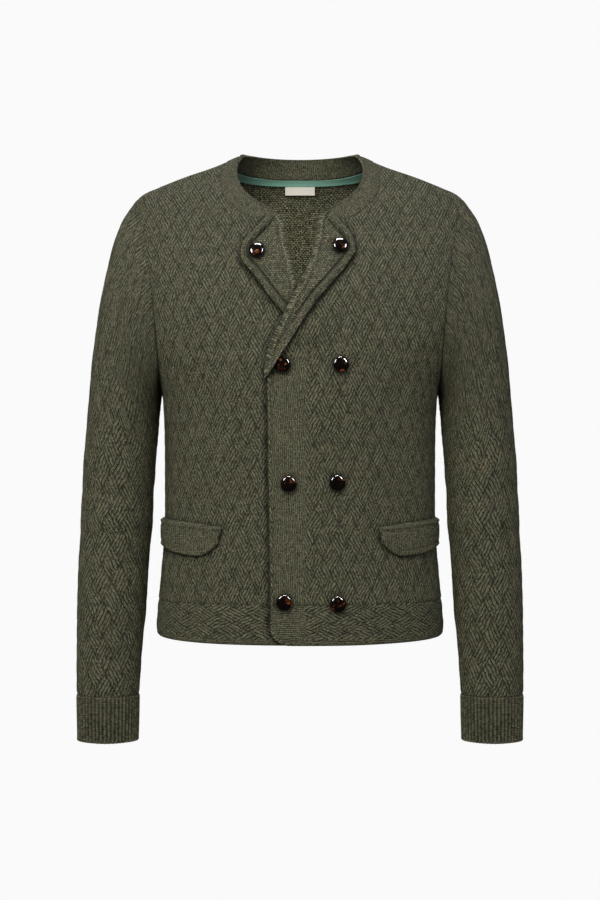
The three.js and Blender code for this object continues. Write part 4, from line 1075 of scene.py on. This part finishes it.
def worsted_cable_knit():
    """Melange worsted wool, cable knitted: matt, with crisp rib lines along each strip,
    painted shade in the gaps between them and light flecks. Plain knit where the cabling stops."""
    material, tree, shader = start_material("worsted_cable_knit")
    place = knit_place(tree)
    cable, crown = cable_cells(tree, place)
    plain = plain_cells(tree, place, *BORDER_KNIT)
    share = add(tree, "Attribute", attribute_name=CABLE_AND_HIGHLIGHT_SHARE).outputs["Fac"]
    ragged = add(tree, "TexNoise", {"Vector": place, "Scale": 0.12, "Detail": 1.0})
    in_cable = add(tree, "Math", {0: share, 1: ragged}, operation="GREATER_THAN")
    cells = add(tree, "Mix", {0: in_cable, 4: plain, 5: cable}, data_type="VECTOR").outputs[1]
    crowned = add(tree, "Mix", {0: share, 2: 0.4, 3: crown}, data_type="FLOAT")
    plain_light = add(tree, "MapRange", {0: share, 1: 0.0, 2: 1.0, 3: 1.1, 4: 1.0})
    # painted highlight: edge stitches are made up to half as light again
    painted_edge_highlight = add(tree, "MapRange", {0: share, 1: 1.0, 2: EDGE_HIGHLIGHT_SHARE, 3: 1.0, 4: 1.5})
    light = add(tree, "Math", {0: plain_light, 1: painted_edge_highlight}, operation="MULTIPLY")
    yarn(tree, shader, cells, place, crowned, lightness=light)
    return material


def worsted_purl_knit():
    """The reverse of the same wool: staggered purl bumps with painted shade in the holes between
    them.
    """
    material, tree, shader = start_material("worsted_purl_knit")
    place = knit_place(tree)
    cells = purl_cells(tree, place, *INSIDE_PURL)
    yarn(tree, shader, cells, place, slant=0.0, gap=0.1, row_gap=0.12, lightness=1.35)
    return material


def plain_face(name, lightness):
    """Fine plain knit of the same wool: an even, matt face of small slanted stitches."""
    material, tree, shader = start_material(name)
    place = knit_place(tree)
    cells = plain_cells(tree, place, *FINE_KNIT)
    yarn(tree, shader, cells, place, gap=0.3, row_gap=0.25, lightness=lightness)
    return material


def worsted_plain_knit():
    """The plain knit of the neckband."""
    return plain_face("worsted_plain_knit", 1.05)


def worsted_flap_knit_painted_light():
    """The plain knit of the pocket flaps, painted lighter to stand for the light that falls on
    them.
    """
    return plain_face("worsted_flap_knit_painted_light", 1.17)


def worsted_lapel_knit():
    """The same wool on the lapels: small purl bumps, with a smooth band along the edge,
    and a painted highlight on the edge stitches and beside the roll.
    """
    material, tree, shader = start_material("worsted_lapel_knit")
    place = knit_place(tree)
    purl = purl_cells(tree, place, *LAPEL_PURL)
    plain = plain_cells(tree, place, *LAPEL_EDGE_KNIT)
    share = add(tree, "Attribute", attribute_name=CABLE_AND_HIGHLIGHT_SHARE).outputs["Fac"]
    cells = add(tree, "Mix", {0: share, 4: plain, 5: purl}, data_type="VECTOR").outputs[1]
    # painted highlight on the edge stitches and beside the roll
    light = add(tree, "MapRange", {0: share, 1: 1.0, 2: EDGE_HIGHLIGHT_SHARE, 3: 1.12, 4: 1.5})
    yarn(tree, shader, cells, place, slant=0.3, gap=0.2, row_gap=0.25, lightness=light)
    return material


def worsted_rib_knit():
    """The same wool in one by one rib: columns of stitches with painted shade in the furrows
    between.
    """
    material, tree, shader = start_material("worsted_rib_knit")
    place = knit_place(tree, wander=0)
    cells = plain_cells(tree, place, *RIB_KNIT)
    centred = add(tree, "VectorMath", {0: cells, 1: (0.5, 0, 0)}, operation="ADD")
    yarn(tree, shader, centred, place, gap=0.35, row_gap=0.5, melange=0.8)
    return material


def woven(name, direction, waves, speckle, share, bump, stops, finish):
    """A woven ribbon: lines of thread under a fine speckle, in colour and in relief."""
    material, tree, shader = start_material(name)
    place = knit_place(tree, wander=0)
    lines = add(tree, "TexWave", {"Vector": place, **waves}, bands_direction=direction)
    lines = lines.outputs["Fac"]
    speck = add(tree, "TexNoise", {"Vector": place, "Scale": speckle, "Detail": 2.0})
    tone = add(tree, "Math", {0: lines, 1: share, 2: speck}, operation="MULTIPLY_ADD")
    relief = add(tree, "Bump", {"Height": lines, **bump})
    feed(tree, shader, {"Base Color": ramp(tree, tone, *stops), "Normal": relief, **finish})
    return material


def cotton_twill_tape():
    """Teal cotton twill tape: fine diagonal lines, smooth with a faint lustre."""
    base = to_hex(bpy.context.scene.cardigan_trims.tape)
    return woven(
        "cotton_twill_tape", "DIAGONAL", {"Scale": 0.22, "Distortion": 0.6, "Detail": 1.0},
        0.5, 0.45, {"Distance": 0.0002, "Strength": 0.5},
        ((0.2, "335e51"), (0.6, base), (1.0, "6a9c89")), {"Roughness": 0.62, "Sheen Weight": 0.15})


def woven_satin_label():
    """Cream woven satin: fine warp threads that give a soft sheen, and no lettering."""
    base = to_hex(bpy.context.scene.cardigan_trims.label)
    return woven(
        "woven_satin_label", "X", {"Scale": 0.5, "Distortion": 0.3},
        0.9, 0.5, {"Distance": 0.0001, "Strength": 0.4},
        ((0.2, "e9e0cc"), (0.7, base), (1.0, "fbf6ea")), {"Roughness": 0.5})


def polished_horn():
    """Polished horn: nearly black brown with clouded amber streaks under a hard gloss."""
    trims = bpy.context.scene.cardigan_trims
    material, tree, shader = start_material("polished_horn")
    place = add(tree, "TexCoord").outputs["Object"]
    turned = add(tree, "Mapping", {
        "Vector": place, "Rotation": (0, 0.7, 0), "Scale": (95, 70, 120)})
    clouds = add(tree, "TexNoise", {
        "Vector": turned, "Scale": 1.0, "Detail": 4.0, "Roughness": 0.6, "Distortion": 1.2})
    colour = ramp(tree, clouds, (0.0, "060403"), (0.56, to_hex(trims.horn)), (0.63, "4a2410"),
                  (0.69, to_hex(trims.horn_streak)), (0.78, "d9a066"))
    feed(tree, shader, {"Base Color": colour, "Roughness": 0.14, "IOR": 1.55,
                        "Coat Weight": 0.9, "Coat Roughness": 0.03})
    return material


def shared(maker):
    """The material of a maker function, made once."""
    return bpy.data.materials.get(maker.__name__) or maker()


# ---------------------------------------------------------------- properties

def colour_property(name, description, default):
    return bpy.props.FloatVectorProperty(
        name=name, description=description, subtype="COLOR_GAMMA", size=3, min=0, max=1,
        default=default)


def length_property(name, description, default, **limits):
    return bpy.props.FloatProperty(
        name=name, description=description, default=default, unit="LENGTH", **limits)


class CardiganKnitSettings(bpy.types.PropertyGroup):
    """Relief and yarn colours of the knit."""

    strip_crown: length_property(
        "Strip crown", "How far a strip bulges out where it passes over another", 0.0007, min=0)
    strip_rib: length_property(
        "Strip rib", "How far the ribs of a strip stand up", 0.0006, min=0)
    cuff_rib: length_property(
        "Cuff rib", "How far the ribs of the cuffs stand up", 0.0009, min=0)
    dark_fibre: colour_property("Dark fibre", "Darkest wool in the melange", (0.14, 0.142, 0.11))
    main_fibre: colour_property("Main fibre", "Olive ground of the melange", (0.385, 0.38, 0.303))
    light_fibre: colour_property(
        "Light fibre", "Lighter wool in the melange", (0.488, 0.479, 0.386))
    fleck: colour_property("Fleck", "Pale flecks in the melange", (0.575, 0.562, 0.47))


class CardiganTrimSettings(bpy.types.PropertyGroup):
    """Size of the tape, and colours of the tape, the label and the buttons."""

    tape_width: length_property("Tape width", "Width of the neck tape", 0.0072, min=0)
    tape: colour_property("Tape", "Neck tape", (0.475, 0.65, 0.57))
    label: colour_property("Label", "Blank neck label", (0.975, 0.95, 0.89))
    horn: colour_property("Horn", "Ground of the buttons", (0.055, 0.032, 0.024))
    horn_streak: colour_property("Horn streak", "Amber streaks of the buttons", (0.6, 0.36, 0.18))


class CardiganStageSettings(bpy.types.PropertyGroup):
    """Backdrop, camera and light."""

    backdrop: colour_property(
        "Backdrop", "Colour of the floor and the background", (0.982, 0.982, 0.982))
    camera_distance: length_property(
        "Camera distance", "From the camera to the garment's middle", 2.3, min=0.5)
    camera_height: length_property(
        "Camera height", "Height of the camera against the shoulders", -0.38)
    light_power: bpy.props.FloatProperty(
        name="Light power", description="Power that the lights' shares are taken of, in watts",
        default=16.0, min=0.0, unit="POWER")


# ---------------------------------------------------------------- operators

CABLE_YARNS = (worsted_cable_knit, worsted_purl_knit)
# In metres: what the lights and the neck's own spot point at, and the floor.
GARMENT_MIDDLE, NECK_INSIDE = (0, 0, -0.38), (0, 0.07, -0.065)
FLOOR_RADIUS, FLOOR_Z = 9.0, -1.4
# The powers of these lights, as shares of the stage's light power.
SPOT_SHARE, CARD_SHARE = 3.6, 2.6


class CARDIGAN_OT_stage(bpy.types.Operator):
    """Make the camera, the soft boxes, the pale floor and the background"""

    bl_idname = "cardigan.stage"
    bl_label = "Stage"

    def execute(self, context):
        stage = context.scene.cardigan_stage
        context.scene.view_settings.view_transform = "Standard"
        self.camera(context, stage)
        power = stage.light_power
        for name, place, size, share in (
            ("soft_box_key", (-0.45, -1.95, 1.18), (0.9, 0.7), 2.12),
            ("soft_box_front", (-0.2, -2.7, -0.1), (1.2, 1.0), 0.7),
            ("soft_box_back", (0, 2.2, 0.5), (2.0, 1.2), 2.5),
        ):
            self.light(context, name, place, size, share * power).visible_glossy = False
        self.neck_spot(context, SPOT_SHARE * power)
        for name, place, size in (
            ("card_left", (-1.3, -1.4, 0.9), (0.4, 1.0)),
            ("card_right", (1.3, -1.4, 0.9), (0.4, 1.0)),
            ("card_top", (0, -0.3, 1.5), (0.8, 0.25)),
        ):
            self.light(context, name, place, size, CARD_SHARE * power).visible_diffuse = False
        self.background(context, stage)
        self.floor(context, stage)
        return {"FINISHED"}

    def camera(self, context, stage):
        focal_px, long_px, sensor = 1797.0, 900.0, 36.0
        lens = bpy.data.cameras.new("camera")
        lens.sensor_width = sensor
        lens.lens = focal_px * sensor / long_px
        camera = show("camera", lens)
        camera.location = (0, -stage.camera_distance, stage.camera_height)
        camera.rotation_euler = (math.pi / 2, 0, 0)
        context.scene.camera = camera

    def neck_spot(self, context, power):
        """A narrow spot from above that opens up the shade inside the neck."""
        lamp = bpy.data.lights.new("neck_spot", "SPOT")
        lamp.energy = power
        lamp.spot_size = math.radians(6.4)
        lamp.spot_blend = 0.7
        lamp.shadow_soft_size = 0.06
        spot = show("neck_spot", lamp)
        spot.visible_glossy = False
        self.aim(spot, (0, -0.96, 1.17), NECK_INSIDE)

    def light(self, context, name, place, size, power):
        lamp = bpy.data.lights.new(name, "AREA")
        lamp.shape = "RECTANGLE"
        lamp.size, lamp.size_y = size
        lamp.energy = power
        lit = show(name, lamp)
        self.aim(lit, place, GARMENT_MIDDLE)
        return lit

    def aim(self, lit, place, target):
        lit.location = place
        way = Vector(target) - lit.location
        lit.rotation_euler = way.to_track_quat("-Z", "Y").to_euler()

    def background(self, context, stage):
        """The camera sees the pale backdrop, the cloth gets a grey light, and the glossy
        buttons mirror a dark room."""
        world = bpy.data.worlds.new("studio")
        context.scene.world = world
        world.use_nodes = True
        tree = world.node_tree
        tree.nodes.clear()
        backdrop, white = linear(to_hex(stage.backdrop)), linear("ffffff")
        seen, lit, room = (add(tree, "Background", {0: colour, 1: strength})
                           for colour, strength in ((backdrop, 1.0), (white, 0.3), (white, 0.012)))
        ray = add(tree, "LightPath").outputs
        unseen = add(tree, "MixShader", {0: ray["Is Glossy Ray"], 1: lit, 2: room})
        mix = add(tree, "MixShader", {0: ray["Is Camera Ray"], 1: unseen, 2: seen})
        add(tree, "OutputWorld", {"Surface": mix})

    def floor(self, context, stage):
        bm = bmesh.new()
        bmesh.ops.create_circle(bm, cap_ends=True, segments=96, radius=FLOOR_RADIUS)
        bmesh.ops.translate(bm, verts=bm.verts[:], vec=(0, 0, FLOOR_Z))
        mesh = bpy.data.meshes.new("floor")
        bm.to_mesh(mesh)
        bm.free()
        floor = show("floor", mesh)
        material, tree, shader = start_material("painted_board")
        feed(tree, shader, {
            "Emission Color": linear(to_hex(stage.backdrop)), "Emission Strength": 1.0,
            "Base Color": (0, 0, 0, 1), "Specular IOR Level": 0.0})
        mesh.materials.append(material)
        floor.visible_diffuse = floor.visible_glossy = floor.visible_shadow = False


class CARDIGAN_OT_fronts(bpy.types.Operator):
    """Knit the two fronts, with the plain borders at their edges"""

    bl_idname = "cardigan.fronts"
    bl_label = "Fronts"

    def execute(self, context):
        for name, side in SIDES:
            shape = front_shape(side, ROLLS[name], LAPEL_EDGES[name])
            sew(f"cable_front_{name}", f"front_{name}", "cable_knit", shape, CABLE_YARNS, "front")
        return {"FINISHED"}


class CARDIGAN_OT_back(bpy.types.Operator):
    """Knit the back"""

    bl_idname = "cardigan.back"
    bl_label = "Back"

    def execute(self, context):
        sew("cable_back", "back", "cable_knit", back_shape, CABLE_YARNS, "back")
        return {"FINISHED"}


class CARDIGAN_OT_hem_bands(bpy.types.Operator):
    """Knit the hem bands, with their cables turned sideways"""

    bl_idname = "cardigan.hem_bands"
    bl_label = "Hem bands"

    def execute(self, context):
        for name, side in (*SIDES, ("back", 1)):
            back = name == "back"
            sew(f"cable_hem_band_{name}", f"hem_band_{name}", "cable_knit",
                hem_shape(side, back), CABLE_YARNS, "hem_back" if back else "hem_front")
        return {"FINISHED"}


class CARDIGAN_OT_sleeves(bpy.types.Operator):
    """Knit the sleeves and set them in the armholes"""

    bl_idname = "cardigan.sleeves"
    bl_label = "Sleeves"

    def execute(self, context):
        for name, side in SIDES:
            sew(f"cable_sleeve_{name}", f"sleeve_{name}", "cable_knit", sleeve_shape(side),
                CABLE_YARNS, "sleeve", ring=True)
        return {"FINISHED"}


class CARDIGAN_OT_cuffs(bpy.types.Operator):
    """Knit the ribbed cuffs"""

    bl_idname = "cardigan.cuffs"
    bl_label = "Cuffs"

    def execute(self, context):
        yarns = (worsted_rib_knit, worsted_purl_knit)
        for name, side in SIDES:
            sew(f"ribbed_cuff_{name}", f"cuff_{name}", "plain_knit", cuff_shape(side), yarns,
                "cuff", ring=True)
        return {"FINISHED"}


class CARDIGAN_OT_lapels(bpy.types.Operator):
    """Knit the lapels, which roll over the fronts' edges and lie back on them"""

    bl_idname = "cardigan.lapels"
    bl_label = "Lapels"

    def execute(self, context):
        yarns = (worsted_lapel_knit, worsted_purl_knit)
        for name, side in SIDES:
            end = 1.0 if side > 0 else RIGHT_LAPEL_END
            shape = lapel_shape(side, ROLLS[name], LAPEL_EDGES[name], end)
            sew(f"knit_lapel_{name}", f"lapel_{name}", "cable_knit", shape, yarns,
                f"lapel_{name}", held="folded", rests_on=[f"cable_front_{name}"])
        return {"FINISHED"}


class CARDIGAN_OT_neckband(bpy.types.Operator):
    """Knit the neckband with its rolled edge"""

    bl_idname = "cardigan.neckband"
    bl_label = "Neckband"

    def execute(self, context):
        yarns = (worsted_plain_knit, worsted_plain_knit)
        sew("plain_neckband", "neckband", "plain_knit", neckband_shape, yarns, "neckband",
            coarser=2)
        return {"FINISHED"}


class CARDIGAN_OT_pocket_flaps(bpy.types.Operator):
    """Knit the slanted pocket flaps"""

    bl_idname = "cardigan.pocket_flaps"
    bl_label = "Pocket flaps"

    def execute(self, context):
        yarns = (worsted_flap_knit_painted_light, worsted_purl_knit)
        for name, side in SIDES:
            sew(f"knit_pocket_flap_{name}", f"pocket_flap_{name}", "plain_knit",
                flap_shape(side), yarns, "flap", rests_on=[f"cable_front_{name}"])
        return {"FINISHED"}


class CARDIGAN_OT_neck_trims(bpy.types.Operator):
    """Sew the tape and the blank label inside the back neck"""

    bl_idname = "cardigan.neck_trims"
    bl_label = "Neck tape and label"

    def execute(self, context):
        width = context.scene.cardigan_trims.tape_width / MM

        def tape_shape(u, v):
            t = 1 - np.abs(2 * u - 1) * TAPE_REACH
            seam_x, seam_z = samples(NECK_SEAM_BACK, "x z", t)
            x = np.sign(u - 0.5) * seam_x * (1 + TAPE_SPREAD * v)
            points, out = spot_at(x, seam_z - SEAM - width * v, True)
            ridge = 0.25 * (np.abs(v - 0.5) > 0.36)
            both = walls(points, -out, WALL + TAPE_DEPTH + TAPE_WALL + ridge, WALL + TAPE_DEPTH)
            return *both, x, width * v, 0 * u

        def label_shape(u, v):
            top = sample(NECK_SEAM_BACK, "z", 1.0) - width - 2 * SEAM
            x = LABEL_WIDTH * (u - 0.5)
            points, out = spot_at(x, top - LABEL_HEIGHT * v, True)
            both = walls(points, -out, WALL + TAPE_DEPTH + LABEL_WALL, WALL + TAPE_DEPTH)
            return *both, x, LABEL_HEIGHT * v, 0 * u

        for name, shape, maker in (("tape", tape_shape, cotton_twill_tape),
                                   ("label", label_shape, woven_satin_label)):
            sew(f"woven_neck_{name}", f"neck_{name}", f"neck_{name}", shape, [maker] * 2, name,
                held="stretched", rests_on=["cable_back"], coarser=2)
        return {"FINISHED"}


class CARDIGAN_OT_buttons(bpy.types.Operator):
    """Turn the domed horn buttons and set each on its cloth"""

    bl_idname = "cardigan.buttons"
    bl_label = "Buttons"

    def execute(self, context):
        for number, (node, x, z, on) in enumerate(BUTTONS, 1):
            bm = bmesh.new()
            chain = [bm.verts.new((radius * MM, 0, up * MM)) for radius, up in BUTTON_PROFILE]
            edges = [bm.edges.new(pair) for pair in zip(chain, chain[1:])]
            bmesh.ops.spin(bm, geom=chain + edges, cent=(0, 0, 0), axis=(0, 0, 1),
                           angle=2 * math.pi, steps=BUTTON_SIDES, use_merge=True)
            bmesh.ops.remove_doubles(bm, verts=bm.verts[:], dist=1e-6)
            bmesh.ops.recalc_face_normals(bm, faces=bm.faces[:])
            side = 1 if on == "front" or x > 0 else -1
            points, out = spot_at(np.array([x]), np.array([z]))
            lift = float(front_lift(np.array([side * x]), np.array([z]), side)[0])
            stand = LAPEL_STAND + WALL if on == "lapel" else 0
            place = points[0] + out[0] * (lift + stand + BUTTON_STAND)
            turn = Vector(out[0]).to_track_quat("Z", "Y").to_matrix().to_4x4()
            bmesh.ops.transform(bm, matrix=turn, verts=bm.verts[:])
            bmesh.ops.translate(bm, verts=bm.verts[:], vec=Vector(place) * MM)
            mesh = bpy.data.meshes.new(f"horn_button_{number}")
            bm.to_mesh(mesh)
            bm.free()
            mesh.shade_smooth()
            button = show(f"horn_button_{number}", mesh)
            dress(button, node, [shared(polished_horn)])
        return {"FINISHED"}


class CARDIGAN_PT_panel(bpy.types.Panel):
    """Settings and steps of the cardigan"""

    bl_idname = "CARDIGAN_PT_panel"
    bl_label = "Cardigan"
    bl_space_type = "VIEW_3D"
    bl_region_type = "UI"
    bl_category = "Cardigan"

    def draw(self, context):
        scene = context.scene
        for group in (scene.cardigan_knit, scene.cardigan_trims, scene.cardigan_stage):
            box = self.layout.box()
            for name in group.bl_rna.properties.keys():
                if name not in ("rna_type", "name"):
                    box.prop(group, name)
        for step in STEPS:
            self.layout.operator(f"cardigan.{step}")


STEPS = ("stage", "fronts", "back", "hem_bands", "sleeves", "cuffs", "lapels", "neckband",
         "pocket_flaps", "neck_trims", "buttons")
CLASSES = (
    CardiganKnitSettings, CardiganTrimSettings, CardiganStageSettings, CARDIGAN_OT_stage,
    CARDIGAN_OT_fronts, CARDIGAN_OT_back, CARDIGAN_OT_hem_bands, CARDIGAN_OT_sleeves,
    CARDIGAN_OT_cuffs, CARDIGAN_OT_lapels, CARDIGAN_OT_neckband, CARDIGAN_OT_pocket_flaps,
    CARDIGAN_OT_neck_trims, CARDIGAN_OT_buttons, CARDIGAN_PT_panel,
)


def register():
    for one in CLASSES:
        bpy.utils.register_class(one)
    bpy.types.Scene.cardigan_knit = bpy.props.PointerProperty(type=CardiganKnitSettings)
    bpy.types.Scene.cardigan_trims = bpy.props.PointerProperty(type=CardiganTrimSettings)
    bpy.types.Scene.cardigan_stage = bpy.props.PointerProperty(type=CardiganStageSettings)


def unregister():
    del bpy.types.Scene.cardigan_stage
    del bpy.types.Scene.cardigan_trims
    del bpy.types.Scene.cardigan_knit
    for one in reversed(CLASSES):
        bpy.utils.unregister_class(one)


def main():
    register()
    for step in STEPS:
        getattr(bpy.ops.cardigan, step)()


if __name__ == "__main__":
    main()
